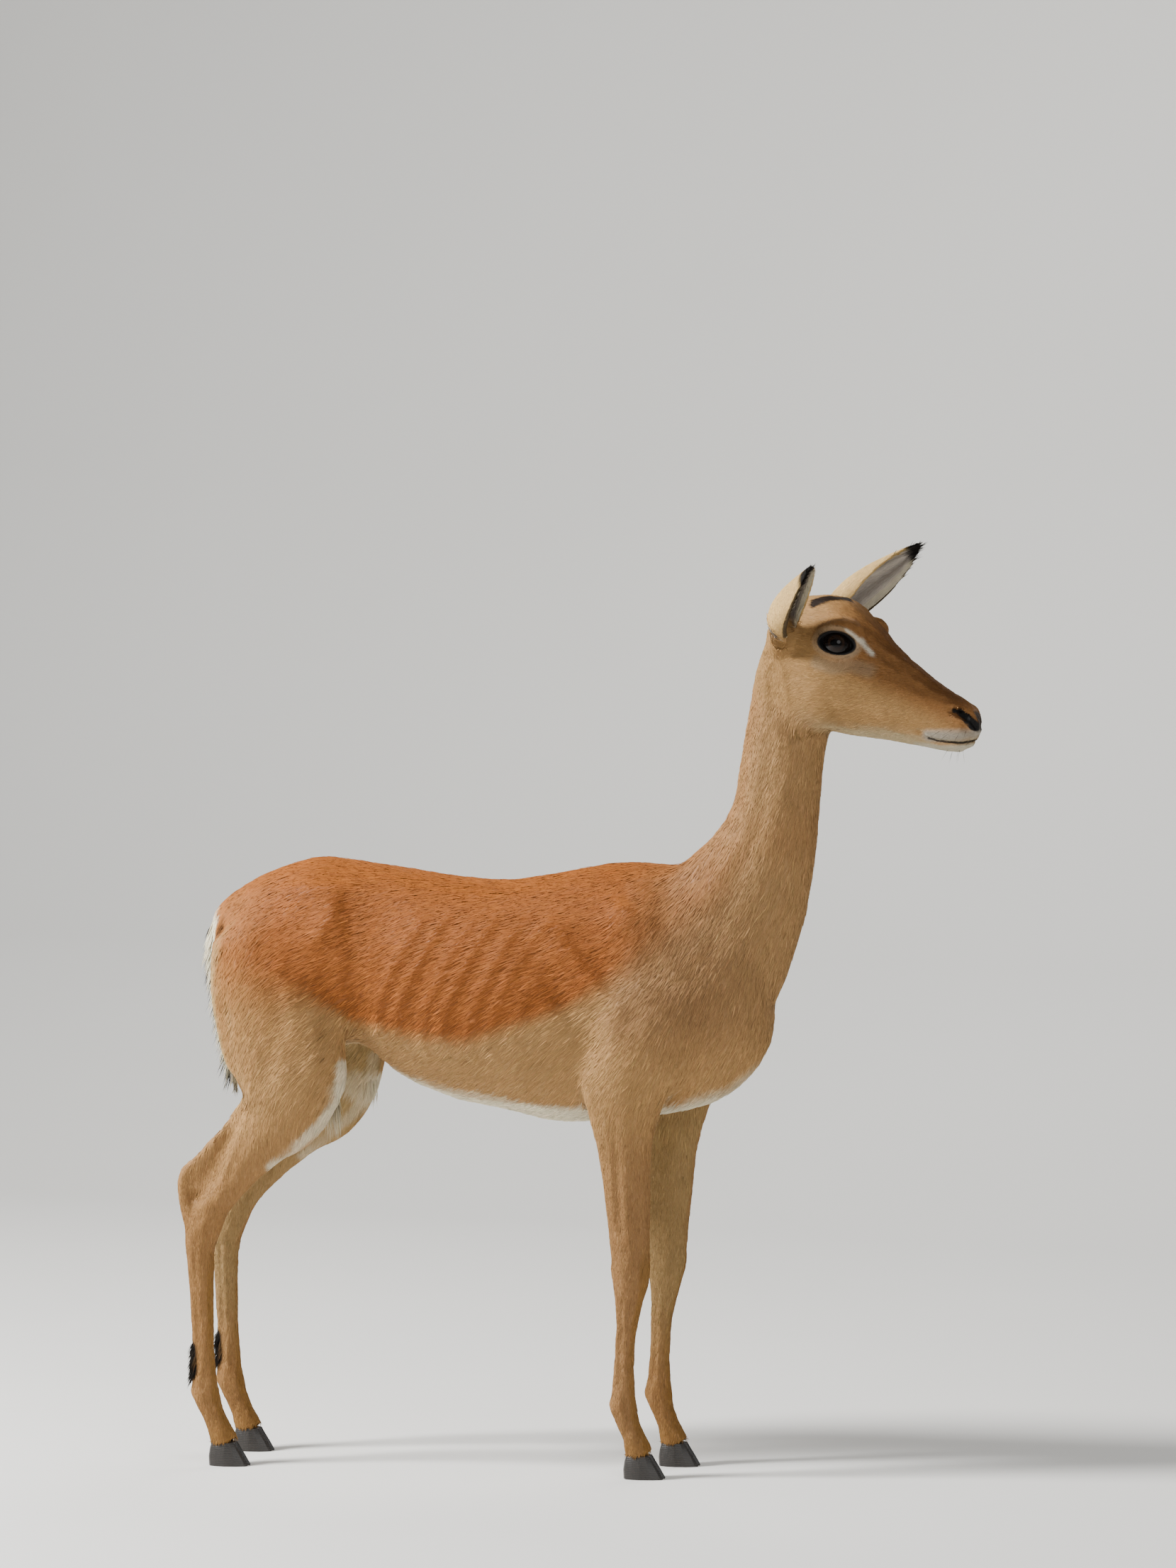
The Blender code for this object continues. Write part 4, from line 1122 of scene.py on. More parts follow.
HORN = horn_material()
CLAWS = [hoof(node, HORN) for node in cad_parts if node.startswith("hoof")]
print("claws:", len(CLAWS), "of", len(CLAWS[0].data.polygons), "faces")

# %% [markdown]
# ## Markings
#
# An impala wears three bands: a rufous saddle over the back, light fawn on the flanks and legs,
# and white under the belly. The face has a pale ring and a white streak at the eye, a brown bridge
# to the nose, a grey lip and a white chin. Black marks the ears' tips, the forehead, two stripes
# on the rump and a tuft behind each hind foot. One formula works out the colour at any point from
# its place and the way the surface faces, so the skin and the hair over it always agree.

# %% The colours of the coat
# Three of these carry painted shade: "inner" is a grey-brown for the legs' sides that face each other,
# "chin" is a greyer, darker white, and "rump" is the rump's redder brown made darker.
PELT = {name: colour(code) for name, code in {
    "saddle": "8b5024", "spine": "8a4c16", "rump": "925f30", "fawn": "a47e50", "neck": "9e7a50",
    "shoulder": "8f6b46", "leg": "916a40", "shin": "85602f", "white": "d5caae", "pale": "ae9769",
    "face": "8d6238", "bridge": "664223", "cheek": "987549", "ring": "96846a", "streak": "c9beaa",
    "lip": "a39b8d", "black": "15110e", "stripe": "20150e", "ear": "c9a76e", "ear_dark": "3a2c24",
    "ear_down": "d6cabb", "nose": "100e0d", "throat": "b5a27e", "chin": "b9b09a", "inner": "94794f",
}.items()}

SADDLE_X = (-0.5, -0.42, -0.33, -0.275, -0.198, -0.123, -0.068, -0.029, 0.009, 0.056, 0.12, 0.187, 0.24)
SADDLE_Z = (0.64, 0.624, 0.61, 0.579, 0.5655, 0.558, 0.577, 0.589, 0.6036, 0.63, 0.68, 0.7355, 0.8)
BELLY_X = (-0.3, -0.25, -0.2, -0.1, 0.0, 0.06, 0.14)
BELLY_Z = (0.5, 0.499, 0.492, 0.481, 0.474, 0.474, 0.48)
BROW_STREAK = [(0.128, 0, 1.086), (0.136, 0, 1.08), (0.143, 0, 1.068), (0.153, 0, 1.056)]
FOREHEAD_STRIPE = [(0.0715, 0.023, 0), (0.087, 0.018, 0), (0.101, 0.009, 0), (0.107, 0.001, 0)]
NOSTRIL = [(0.2575, 0, 0.9865), (0.266, 0, 0.984), (0.274, 0, 0.978), (0.283, 0, 0.966)]
MOUTH_U = (0.221, 0.236, 0.253, 0.269, 0.281)
MOUTH_W = (0.952, 0.948, 0.9465, 0.9465, 0.9495)
LIP = [(0.224, 0.021, 0.954), (0.246, 0.02, 0.955), (0.266, 0.017, 0.9565), (0.283, 0.004, 0.9605)]
CHIN = [(0.205, 0.012, 0.932), (0.235, 0.012, 0.93), (0.262, 0.008, 0.932), (0.272, 0.0, 0.934)]
UNDER_EYE = [(0.085, 0, 1.046), (0.105, 0, 1.04), (0.13, 0, 1.042), (0.15, 0, 1.036)]
TEAR = [(0.131, 0.052, 1.0645), (0.142, 0.0495, 1.062)]
NOTCH_SPOT = (0.0665, 0.115, 1.0895)  # pale spot below the ear's opening
GLAND = [(-0.5, 0.152), (-0.4985, 0.122)]  # ahead and up, behind each hind cannon
GROIN = (-0.311, 0.064, 0.486)  # the flank fold's inner side, where long white hair hangs
CHEST_X = (0.14, 0.165, 0.2, 0.235, 0.26)
CHEST_Z = (0.472, 0.483, 0.492, 0.519, 0.547)
THIGH_STRIP = [
    (-0.288, 0, 0.525), (-0.292, 0, 0.48), (-0.318, 0, 0.447), (-0.352, 0, 0.418), (-0.385, 0, 0.392),
]
TAIL_HALF = 0.0055  # half the breadth of the black line down the tail
EAR_BANDS = 10.0  # dark bands between the pale locks inside an ear, in turns of an angle across it
print("colours of the coat:", len(PELT))

# %% [markdown]
# What lies where is asked of the same forms that made the skin. A point belongs to an ear when the
# nearest point of the ear's unrolled leaf is within its wall, and the leaf's row and column there
# say how far up and across it lies.

# %% Parts of the head and the tail
EAR_SKIN = 0.0045  # what lies within this of a leaf is ear
EAR_FOOT = 0.1  # share of the leaf that is still head
EAR_HEART, EAR_AROUND = 0.08, 0.125  # a ball round each ear: how far up its middle lies, its radius


def tail_line(x, y, z, normals):
    """The black line down the back of the tail."""
    line = (1 - ramp(np.abs(y), TAIL_HALF, TAIL_HALF + 0.004)) * (x < -0.452)
    line = line * ramp(-normals[:, 0], 0.2, 0.5)
    return line * ramp(z, 0.47, 0.49) * (1 - ramp(z, 0.7, 0.725))


def head_share_of(points):
    """How much points belong to the head: 1 on it, 0 on the neck and the body."""
    place = in_head(points)
    return ramp(place[:, 2] + place[:, 0] * 0.5, 0.985, 1.02) * ramp(place[:, 2], 0.9, 0.93)


def folded(place):
    """Points of the head brought to its left side, since it is alike on both."""
    return place * (1, 0, 1) + np.abs(place) * (0, 1, 0)


def ear_place(points):
    """For each point: how much it belongs to an ear, its share along the leaf, its place across it
    from -1 to 1, and whether it lies on the hollow side."""
    place = in_head(points)
    amount, share, across, hollow = (np.zeros(len(points)) for _ in range(4))
    for side in SIDES:
        grid = ear_grid(side)
        heart = np.array(EAR_ROOT[side]) + EAR_HEART * unit(np.array(EAR_POINTS[side]))
        near = np.linalg.norm(place - heart, axis=1) < EAR_AROUND
        chosen = np.flatnonzero(near & (place[:, 1] * side > 0.015) & (place[:, 2] > 1.045))
        if not len(chosen):
            continue
        tree = KDTree(EAR_ROWS * EAR_COLUMNS)
        for number, point in enumerate(grid.reshape(-1, 3)):
            tree.insert(point, number)
        tree.balance()
        found = [tree.find(place[i])[1:] for i in chosen]
        index = np.array([number for number, _ in found])
        far = np.array([distance for _, distance in found])
        row, column = index // EAR_COLUMNS, index % EAR_COLUMNS
        back, ahead = np.maximum(row - 1, 0), np.minimum(row + 1, EAR_ROWS - 1)
        left, right = np.maximum(column - 1, 0), np.minimum(column + 1, EAR_COLUMNS - 1)
        normal = np.cross(grid[ahead, column] - grid[back, column], grid[row, right] - grid[row, left])
        above = np.sum((place[chosen] - grid[row, column]) * normal, axis=1)
        here = (far < EAR_SKIN) & (row > EAR_FOOT * EAR_ROWS)
        amount[chosen[here]] = ramp(row[here] / EAR_ROWS, EAR_FOOT, 0.22)
        share[chosen[here]] = row[here] / (EAR_ROWS - 1)
        across[chosen[here]] = 2 * column[here] / (EAR_COLUMNS - 1) - 1
        within = (np.abs(across[chosen[here]]) < 0.94) & (share[chosen[here]] > 0.14)
        hollow[chosen[here]] = (above[here] < 0) & within
    return amount, share, across, hollow


def near_path(place, path, near, far, seen_along=None):
    """1 near a path and 0 far from it, in space or as seen along one of the head's axes."""
    flat = np.ones(3)
    if seen_along is not None:
        flat[seen_along] = 0
    return 1 - ramp(distance_to_path(place * flat, np.array(path, dtype=float) * flat), near, far)


print("share of the skin's points on the head:", round(float(head_share_of(points_of(skin)).mean()), 2))

# %% [markdown]
# Each marking is a share between 0 and 1, made of ramps: how high a point lies over a line, how
# near it is to a path, or which way the surface faces there. The markings are laid over the
# ground colour one after another, like thin coats of paint, so soft edges come by themselves.

# %% Markings of the body
def painter(points, ground):
    """Colours for points, all of one ground colour, and what lays another over them by a share."""
    colours = np.tile(PELT[ground], (len(points), 1))

    def lay(name, share):
        colours[:] = blend(colours, PELT[name], share)

    return colours, lay


def body_colour(points, normals):
    """Saddle, flanks, belly, legs and neck."""
    x, y, z = in_body(points).T
    out = np.sign(y) * normals[:, 1]
    colours, lay = painter(points, "fawn")
    lay("leg", 1 - ramp(z, 0.3, 0.52))
    lay("neck", ramp(x + (z - 0.7) * 0.4, 0.1, 0.2) * ramp(z, 0.5, 0.62))
    shoulder = ramp(x, 0.02, 0.1) * (1 - ramp(x, 0.17, 0.27))
    shoulder = shoulder * ramp(z, 0.5, 0.62) * (1 - ramp(z, 0.74, 0.84))
    lay("shoulder", shoulder)
    forearm = ramp(x, 0.0, 0.1) * (1 - ramp(z, 0.36, 0.5)) * ramp(out, 0, 0.5)
    lay("shoulder", forearm * 0.6)
    # The rump's lower side gets a redder brown over the fawn: partly the rump's own redder hair, partly
    # painted shade, since that brown is darker than the hair is.
    rump = ramp(-x, 0.27, 0.4) * ramp(z, 0.47, 0.66)
    lay("rump", rump * 0.55)
    edge = np.interp(x, SADDLE_X, SADDLE_Z)
    soft = 1 + 2.2 * ramp(-x, 0.3, 0.4) + 1.5 * ramp(x, 0.0, 0.12)
    saddle = ramp((z - edge) / soft, -0.014, 0.016)
    saddle *= (1 - 0.55 * ramp(x, 0.05, 0.15)) * (1 - 0.6 * ramp(x, 0.15, 0.27))
    saddle *= 1 - ramp(z, 0.79, 0.9)
    lay("saddle", saddle * (1 - 0.35 * ramp(-x, 0.36, 0.46)))
    spine = ramp(normals[:, 2], 0.55, 0.95) * ramp(z, 0.7, 0.74) * (1 - ramp(x, 0.2, 0.26))
    lay("spine", spine * 0.5)
    nape = ramp(-normals[:, 0], 0.2, 0.9) * ramp(z, 0.8, 0.86)
    lay("saddle", nape * 0.25)
    shin = ramp(normals[:, 0], 0.35, 0.85) * (1 - ramp(z, 0.24, 0.3))
    lay("shin", shin * 0.75)
    lay("shin", (1 - ramp(z, 0.034, 0.075)) * 0.5)
    knee = ramp(normals[:, 0], 0.2, 0.9) * np.exp(-((z - 0.268) / 0.03) ** 2) * (x > -0.2)
    lay("shin", knee * 0.5)
    # Painted shade: the legs' sides that face each other, where shade falls between the legs, get a darker
    # grey-brown.
    inner = ramp(-out, 0.05, 0.55) * ramp(z, 0.1, 0.25) * (1 - ramp(z, 0.56, 0.62))
    lay("inner", inner * 0.8)
    groin = ramp(-out, 0.1, 0.6) * ramp(z, 0.4, 0.5) * (1 - ramp(z, 0.56, 0.62)) * (x < 0)
    lay("pale", groin * 0.5)
    belly = 1 - ramp(z - np.interp(x, BELLY_X, BELLY_Z), -0.004, 0.005)
    belly = belly * ramp(z, 0.43, 0.442) * ramp(x, -0.31, -0.28) * (1 - ramp(x, 0.018, 0.036))
    under = ramp(-normals[:, 2], 0.72, 0.92) * ramp(z, 0.44, 0.452) * (1 - ramp(z, 0.52, 0.56))
    fold = np.stack([x, np.abs(y), z], axis=1) - np.array(GROIN)
    wisp = 1 - ramp(np.linalg.norm(fold, axis=1), 0.014, 0.026)
    wisp *= np.where(y < 0, 1.0, 0.4 * ramp(-out, -0.3, 0.2))
    lay("white", np.maximum.reduce([belly, under, wisp]))
    line = np.interp(x, CHEST_X, CHEST_Z)
    chest = (1 - ramp(z - line, -0.006, 0.016)) * ramp(x, 0.135, 0.16) * ramp(z, 0.455, 0.468)
    lay("white", chest * 0.7 * (1 - ramp(np.abs(y), 0.04, 0.056)))
    strip = near_path(np.stack([x, np.zeros(len(x)), z], axis=1), THIGH_STRIP, 0.003, 0.01)
    strip = strip * ramp(normals[:, 0], 0.1, 0.5) * (0.35 + 0.4 * (y < 0))
    lay("white", strip)
    rear = ramp(-normals[:, 0], 0.45, 0.85) * ramp(-x, 0.4, 0.44)
    front = np.interp(z, (0.48, 0.55, 0.6, 0.72), (-0.445, -0.452, -0.462, -0.47))
    on_tail = ramp(front - x, -0.002, 0.006) * (np.abs(y) < 0.024) * ramp(z, 0.44, 0.47)
    mirror = rear * (1 - ramp(np.abs(y), 0.03, 0.042)) * ramp(z, 0.5, 0.56) * (1 - ramp(z, 0.7, 0.72))
    lay("white", np.maximum(mirror, on_tail * (1 - ramp(z, 0.7, 0.735))))
    lay("pale", rear * ramp(np.abs(y), 0.06, 0.075) * 0.6 * ramp(z, 0.45, 0.55))
    stripe = np.exp(-((np.abs(y) - 0.052) / 0.0065) ** 2) * rear * ramp(z, 0.54, 0.6)
    lay("black", stripe * (1 - ramp(z, 0.7, 0.73)))
    back_of_leg = np.stack([np.where(y > 0, x - STEPS["hind"][0], x), z], axis=1)
    gland = 1 - ramp(distance_to_path(back_of_leg, np.array(GLAND)), 0.0085, 0.0135)
    lay("black", gland)
    lay("black", tail_line(x, y, z, normals))
    return colours


print("saddle's lower edge, from", min(SADDLE_Z), "to", max(SADDLE_Z), "m up")

# %% [markdown]
# The face's markings are narrower. The ring and the black rim at the eye follow the lids' own
# opening, grown a little, and the rest are paths seen from the side or from above.

# %% Markings of the face
RIM_BLACK = (1.11, 1.19)  # the black rim fades out here, in sizes of the lids' opening
RING_FROM, RING_WIDEST, RING_TO = 1.26, 1.5, 1.68  # the pale ring round it, wider over the eye
RING_GROWTH = 12  # how fast it widens with height
RIM_BACK, RING_BACK = -0.015, -0.004  # neither goes further in than this


def nostril(place):
    """How much each place belongs to the nostril: a comma, broad ahead and hooked behind."""
    broad = near_path(place, NOSTRIL[1:], 0.0046, 0.006, 1)
    hook = near_path(place, NOSTRIL[:2], 0.0026, 0.0038, 1)
    return np.maximum(broad, hook) * ramp(place[:, 1], 0.003, 0.005)


def face_colour(points, normals):
    """Face, with the marks round eye, nose and mouth."""
    place = folded(in_head(points))
    u, v, w = place.T
    colours, lay = painter(points, "cheek")
    line = 1.05 - 0.5 * (u - 0.1)
    lay("face", ramp(w - line, -0.02, 0.014) * ramp(u, 0.06, 0.12))
    crown = ramp(w, 1.075, 1.105) * (1 - ramp(u, 0.1, 0.16))
    lay("cheek", crown * 0.45)
    top = ramp(normals[:, 2], 0.25, 0.75) * ramp(u, 0.12, 0.165) * (1 - ramp(u, 0.262, 0.284))
    lay("bridge", top * 0.85)
    lay("throat", ramp(-normals[:, 2], 0.25, 0.75) * (1 - ramp(w, 0.955, 0.975)))
    throat = np.exp(-(((u - 0.06) / 0.035) ** 2 + ((w - 0.95) / 0.022) ** 2))
    lay("throat", throat * 0.7)
    under_eye = near_path(place, UNDER_EYE, 0.004, 0.014, 1) * ramp(v, 0.018, 0.026)
    lay("ring", under_eye * 0.45)
    lay("lip", near_path(place, LIP, 0.003, 0.012) * 0.88)
    # Painted shade: the white chin is laid in a greyer, darker white than the belly's, as shade under the
    # jaw.
    lay("chin", near_path(place, CHIN, 0.01, 0.016) * 0.95)
    for side in SIDES:
        grown, depth = lid_distance(points, side)
        front, up = eye_place(points, side)[:, :2].T
        wide = np.minimum(RING_FROM + RING_GROWTH * np.maximum(up, 0), RING_WIDEST)
        ring = (1 - ramp(grown, wide, RING_TO)) * (depth > RING_BACK)
        lay("ring", ring * (0.5 + 0.15 * ramp(front, -0.01, 0.02)))
        rim = (1 - ramp(grown, *RIM_BLACK)) * (depth > RIM_BACK)
        lay("nose", rim)
    streak = near_path(place, BROW_STREAK, 0.0008, 0.0044, 1) * ramp(v, 0.018, 0.026)
    lay("streak", streak)
    lay("nose", near_path(place, TEAR, 0.0022, 0.0045))
    stripe = near_path(place, FOREHEAD_STRIPE, 0.005, 0.0088, 2) * ramp(w, 1.095, 1.11)
    lay("stripe", stripe)
    mouth = 1 - ramp(np.abs(w - np.interp(u, MOUTH_U, MOUTH_W)), 0.0008, 0.002)
    lay("nose", mouth * ramp(u, 0.2195, 0.2225) * 0.95)
    lay("nose", nostril(place))
    pad = ramp(u, 0.276, 0.281) * (1 - ramp(v, 0.006, 0.011))
    pad = pad * ramp(w, 0.956, 0.964) * (1 - ramp(w, 0.984, 0.99))
    lay("nose", pad * 0.9)
    return colours


print("the mouth's line has", len(MOUTH_U), "points")

# %% [markdown]
# An ear is fawn outside with a black tip and a black outer rim. Inside, pale locks run up it with
# the dark skin showing between them. The colours of skin and lids are stored on their points.

# %% The ears, and all together
def coat_colour(points, normals):
    """The colour of skin and hair at points of the frame."""
    place = in_head(points)
    colours = body_colour(points, normals)
    colours = blend(colours, face_colour(points, normals), head_share_of(points))
    amount, share, across, hollow = ear_place(points)
    outside = blend(PELT["neck"][None, :].repeat(len(points), 0), PELT["ear"], ramp(share, 0.12, 0.35))
    lower = across * np.sign(place[:, 1])  # towards the rim that hangs lower
    bands = 0.5 + 0.5 * np.cos(across * EAR_BANDS + 0.8)
    dark_end = np.maximum(1 - ramp(share, 0.16, 0.4), ramp(-lower, 0.4, 0.6))
    inside = blend(PELT["ear_down"][None, :].repeat(len(points), 0), PELT["ear_dark"], 0.55 * bands)
    inside = blend(inside, PELT["ear_dark"], dark_end * 0.75)
    inside = blend(inside, PELT["white"], ramp(np.maximum(lower, -lower - 0.06), 0.72, 0.82) * 0.8)
    leaf = blend(outside, inside, hollow)
    rim = ramp(lower, 0.86, 0.94) * ramp(share, 0.18, 0.3) * (1 - hollow)
    leaf = blend(leaf, PELT["black"], np.maximum(ramp(share, 0.84, 0.91), rim * 0.9))
    head = folded(place)
    notch = near_path(head, [NOTCH_SPOT], 0.0045, 0.009, 1) * ramp(head[:, 1], 0.09, 0.1)
    colours = blend(colours, PELT["white"], notch)
    leaf = blend(leaf, PELT["white"], notch)
    return blend(colours, leaf, amount)


skin_points, skin_normals = points_of(skin), normals_of(skin)
skin_colours = coat_colour(skin_points, skin_normals)


def store_colour(thing, colours):
    """Keeps a colour for each point of a mesh, where its material finds it by name."""
    attribute = thing.data.attributes.new("pelt", "FLOAT_COLOR", "POINT")
    rows = np.concatenate([colours, np.ones((len(colours), 1))], axis=1)
    attribute.data.foreach_set("color", rows.astype(np.float32).ravel())


store_colour(skin, skin_colours)
for thing in LIDS:
    lid_points, lid_normals = points_of(thing), normals_of(thing)
    store_colour(thing, coat_colour(lid_points, lid_normals))
print("skin colours from", skin_colours.min(axis=0).round(3), "to", skin_colours.max(axis=0).round(3))

# %% [markdown]
# ## The lie of the coat
#
# Hair grows in a stream: from the nose back over the face, down the neck, back along the trunk and
# down the legs. The stream is a mix of a few directions, each with its own region, pressed flat on
# the surface at each point by taking away the part that points along the normal.

# %% The stream
def stream(points, normals):
    """The way the hair lies at points of the frame, along the surface."""
    place = in_head(points)
    x, _, z = in_body(points).T
    ahead = np.array(AHEAD)
    trunk_way = np.array([-1.0, 0.0, -0.55])
    flank_way = np.array([-0.75, 0.0, -0.7])
    leg_way = np.array([-0.1, 0.0, -1.0])
    neck_way = np.array([-0.3, 0.0, -1.0])
    ways = np.tile(trunk_way, (len(points), 1))
    ways = blend(ways, flank_way, ramp(0.66 - z, 0.0, 0.12))
    shoulder = ramp(x, 0.02, 0.16)
    ways = blend(ways, neck_way, shoulder * 0.8)
    rump = ramp(-x, 0.33, 0.45)
    ways = blend(ways, leg_way + np.array([-0.25, 0, 0]), rump)
    limb = 1 - ramp(z, 0.42, 0.54)
    under = ramp(-normals[:, 2], 0.5, 0.9) * ramp(z, 0.43, 0.45)
    ways = blend(ways, leg_way, limb * (1 - under))
    ways = blend(ways, neck_way, ramp(z, 0.74, 0.84) * ramp(x, 0.1, 0.2))
    side = np.sign(place[:, 1])[:, None] * np.array(ACROSS)
    face_way = -ahead[None, :] + np.array([0, 0, 0.12]) + 0.1 * side
    cheek = (1 - ramp(place[:, 2], 0.98, 1.06))[:, None]
    face_way = face_way - cheek * np.array([0, 0, 0.45])
    back_of_head = (1 - ramp(place[:, 0], 0.02, 0.07))[:, None]
    face_way = face_way * (1 - back_of_head) + neck_way * back_of_head
    ways = blend(ways, face_way, head_share_of(points))
    for eye in SIDES:
        off = points - np.array(EYES[eye])
        near = 1 - ramp(np.linalg.norm(off, axis=1), 0.024, 0.042)
        off = unit(off - normals * np.sum(off * normals, axis=1, keepdims=True) + 1e-9)
        ways = blend(ways, off - 0.5 * ahead, near * 0.92)
    amount, share, across, hollow = ear_place(points)
    for ear in SIDES:
        along = np.array(HEAD.to_3x3() @ ear_axes(ear)[0])
        ways = blend(ways, along, amount * (np.sign(place[:, 1]) == ear))
    ways = ways - normals * np.sum(ways * normals, axis=1, keepdims=True)
    return unit(ways + 1e-9), amount, share, across, hollow


print("mean way of the hair:", stream(skin_points, skin_normals)[0].mean(axis=0).round(2))

# %% [markdown]
# ## The coat
#
# An impala's hair is short and lies flat: 12 to 17 mm on the trunk, 4 to 6 mm on the face. Drawn
# hair by hair it would be millions. Each tuft here stands for a lock of hairs that lie together: a
# closed sliver of four triangles, with its root under the skin, a low ridge, and a tip that lies
# just over the skin further down the stream. Roots are scattered at random with a fixed seed, more
# of them where the hair is short. One lock in eight is a guard lock, larger and a little proud of
# the rest. A few places have long hair that hangs free: tail, groin, and behind the hind feet.

# %% How the hair grows at each place
SEED = 41
TUFTS = 356000  # in all
HAIR_PLACES = {  # length, breadth, lift at the tip in mm, and share of the skin that its locks cover
    "trunk": (16.0, 2.3, 1.2, 1.0),
    "belly": (18.0, 2.2, 1.6, 1.0),
    "neck": (13.0, 1.9, 1.1, 1.1),
    "leg": (9.0, 1.35, 0.6, 0.85),
    "foot": (6.5, 1.15, 0.6, 0.95),
    "cheek": (7.0, 1.15, 0.6, 1.05),
    "muzzle": (4.4, 0.82, 0.35, 0.95),
    "ear": (6.5, 1.0, 0.5, 1.0),
    "in_ear": (11.0, 0.9, 1.6, 0.8),
}
LONG_HAIR = {  # middle and reach of the place; length, breadth, lift in mm; the way it hangs
    "tail": ((-0.48, 0.0, 0.598), (0.027, 0.028, 0.128), (30.0, 2.0, 2.6), (-0.1, 0.0, -1.0)),
    "groin_right": (
        (-0.311, -0.064, 0.486), (0.016, 0.014, 0.013), (50.0, 2.2, 1.6), (0.02, -0.02, -1.0)),
    "groin_left": (
        (-0.287, 0.056, 0.483), (0.014, 0.022, 0.016), (26.0, 2.2, 0.8), (-0.12, -0.02, -1.0)),
    "gland_right": (
        (-0.5, -0.067, 0.137), (0.013, 0.02, 0.024), (17.0, 1.7, 2.4), (-0.22, 0.0, -1.0)),
    "gland_left": (
        (-0.505, 0.067, 0.137), (0.013, 0.02, 0.024), (17.0, 1.7, 2.4), (-0.22, 0.0, -1.0)),
}
LID_HAIR_FROM = 1.14  # hair begins this many times the opening's size from its middle


def in_long_hair(points, name):
    """True where a place with long hair is."""
    middle, reach = LONG_HAIR[name][:2]
    return np.linalg.norm((in_body(points) - np.array(middle)) / np.array(reach), axis=1) < 1


def hair_at(points, normals, amount, hollow):
    """Length, breadth, lift and cover of the hair at points, in metres and shares."""
    kinds = {name: np.array(row) * (0.001, 0.001, 0.001, 1.0) for name, row in HAIR_PLACES.items()}
    place = in_head(points)
    z = points[:, 2]
    head_share = head_share_of(points)
    eye = np.min([np.linalg.norm(points - np.array(EYES[side]), axis=1) for side in SIDES], axis=0)
    hair = np.tile(kinds["trunk"], (len(points), 1))
    for kind, share in (
        ("belly", ramp(-normals[:, 2], 0.4, 0.9) * ramp(z, 0.42, 0.46)),
        ("leg", 1 - ramp(z, 0.36, 0.52)),
        ("foot", 1 - ramp(z, 0.06, 0.12)),
        ("neck", ramp(z, 0.78, 0.88)),
        ("cheek", head_share),
        ("muzzle", head_share * ramp(place[:, 0], 0.13, 0.24)),
        ("muzzle", 1 - ramp(eye, 0.026, 0.045)),
        ("ear", amount),
        ("in_ear", amount * hollow),
    ):
        hair = blend(hair, kinds[kind], share)
    return hair


def bald(points, normals):
    """True where no hair grows: the lids' rims, the skin behind the ball, nostrils, the nose's pad."""
    place = folded(in_head(points))
    u, v, w = place.T
    found = nostril(place) > 0.3
    found |= (u > 0.279) & (v < 0.008) & (w > 0.958) & (w < 0.988)
    for side in SIDES:
        grown, depth = lid_distance(points, side)
        facing = normals @ np.array(eye_axes(side)[2])
        found |= (grown < LID_HAIR_FROM) & (depth > EYE_BACK)
        found |= (grown < LID_COVERS[1]) & (depth > EYE_BACK) & (facing < 0.25)
    return found


print("kinds of hair:", len(HAIR_PLACES), "short and", len(LONG_HAIR), "places of long")

# %% [markdown]
# A triangle gets tufts by its area and by how small a tuft is there. The number is drawn from a
# Poisson spread, so that the roots form no rows. A root's place on its triangle comes from two
# random shares of its edges: where they add up to more than 1, both are turned over. Bridging and
# merging may leave the faces in another order each time, so the triangles are first put in an
# order that depends on nothing but their places. Then the same seed always grows the same coat.

# %% Scattering the roots
LID_LAP = 0.04  # the lids' hair starts this much outside the skin's, so that they overlap


def triangles_of(thing):
    """The corners of a mesh's triangles, three point numbers to a row."""
    thing.data.calc_loop_triangles()
    corners = np.empty(len(thing.data.loop_triangles) * 3, dtype=np.int32)
    thing.data.loop_triangles.foreach_get("vertices", corners)
    return corners.reshape(-1, 3)


def in_order(points, corners):
    """Triangles sorted by their places, each starting from the same one of its corners."""
    _, rank = np.unique(points, axis=0, return_inverse=True)
    named = rank.ravel()[corners]
    turns = (named.argmin(axis=1)[:, None] + np.arange(3)) % 3
    corners, named = (np.take_along_axis(rows, turns, axis=1) for rows in (corners, named))
    return corners[np.lexsort(named.T)]


def growing_surface():
    """Points, normals and triangles that hair grows on: the skin, and the lids where they cover it."""
    points, normals, corners = points_of(skin), normals_of(skin), triangles_of(skin)
    middles = points[corners].mean(axis=1)
    for side in SIDES:
        grown, depth = lid_distance(middles, side)
        outside = (grown > LID_COVERS[1]) | (depth < EYE_BACK)
        corners, middles = corners[outside], middles[outside]
    for thing, side in zip(LIDS, SIDES):
        more = triangles_of(thing)
        grown, _ = lid_distance(points_of(thing)[more].mean(axis=1), side)
        more = more[grown < LID_COVERS[1] + LID_LAP] + len(points)
        points = np.concatenate([points, points_of(thing)])
        normals = np.concatenate([normals, normals_of(thing)])
        corners = np.concatenate([corners, more])
    return points, normals, in_order(points, corners)


dice = np.random.default_rng(SEED)
grow_points, grow_normals, corners = growing_surface()
spots = grow_points[corners].mean(axis=1)
spot_normals = unit(grow_normals[corners].mean(axis=1))
sides = grow_points[corners[:, 1:]] - grow_points[corners[:, :1]]
areas = np.linalg.norm(np.cross(sides[:, 0], sides[:, 1]), axis=1) / 2
_, spot_ear, _, _, spot_hollow = stream(spots, spot_normals)
spot_hair = hair_at(spots, spot_normals, spot_ear, spot_hollow)
wanted = areas * spot_hair[:, 3] / (spot_hair[:, 0] * spot_hair[:, 1]) * ~bald(spots, spot_normals)
wanted *= TUFTS / wanted.sum()
covered = TUFTS / (areas / (spot_hair[:, 0] * spot_hair[:, 1])).sum() / 2
print("layers of locks over the skin:", round(float(covered), 2))

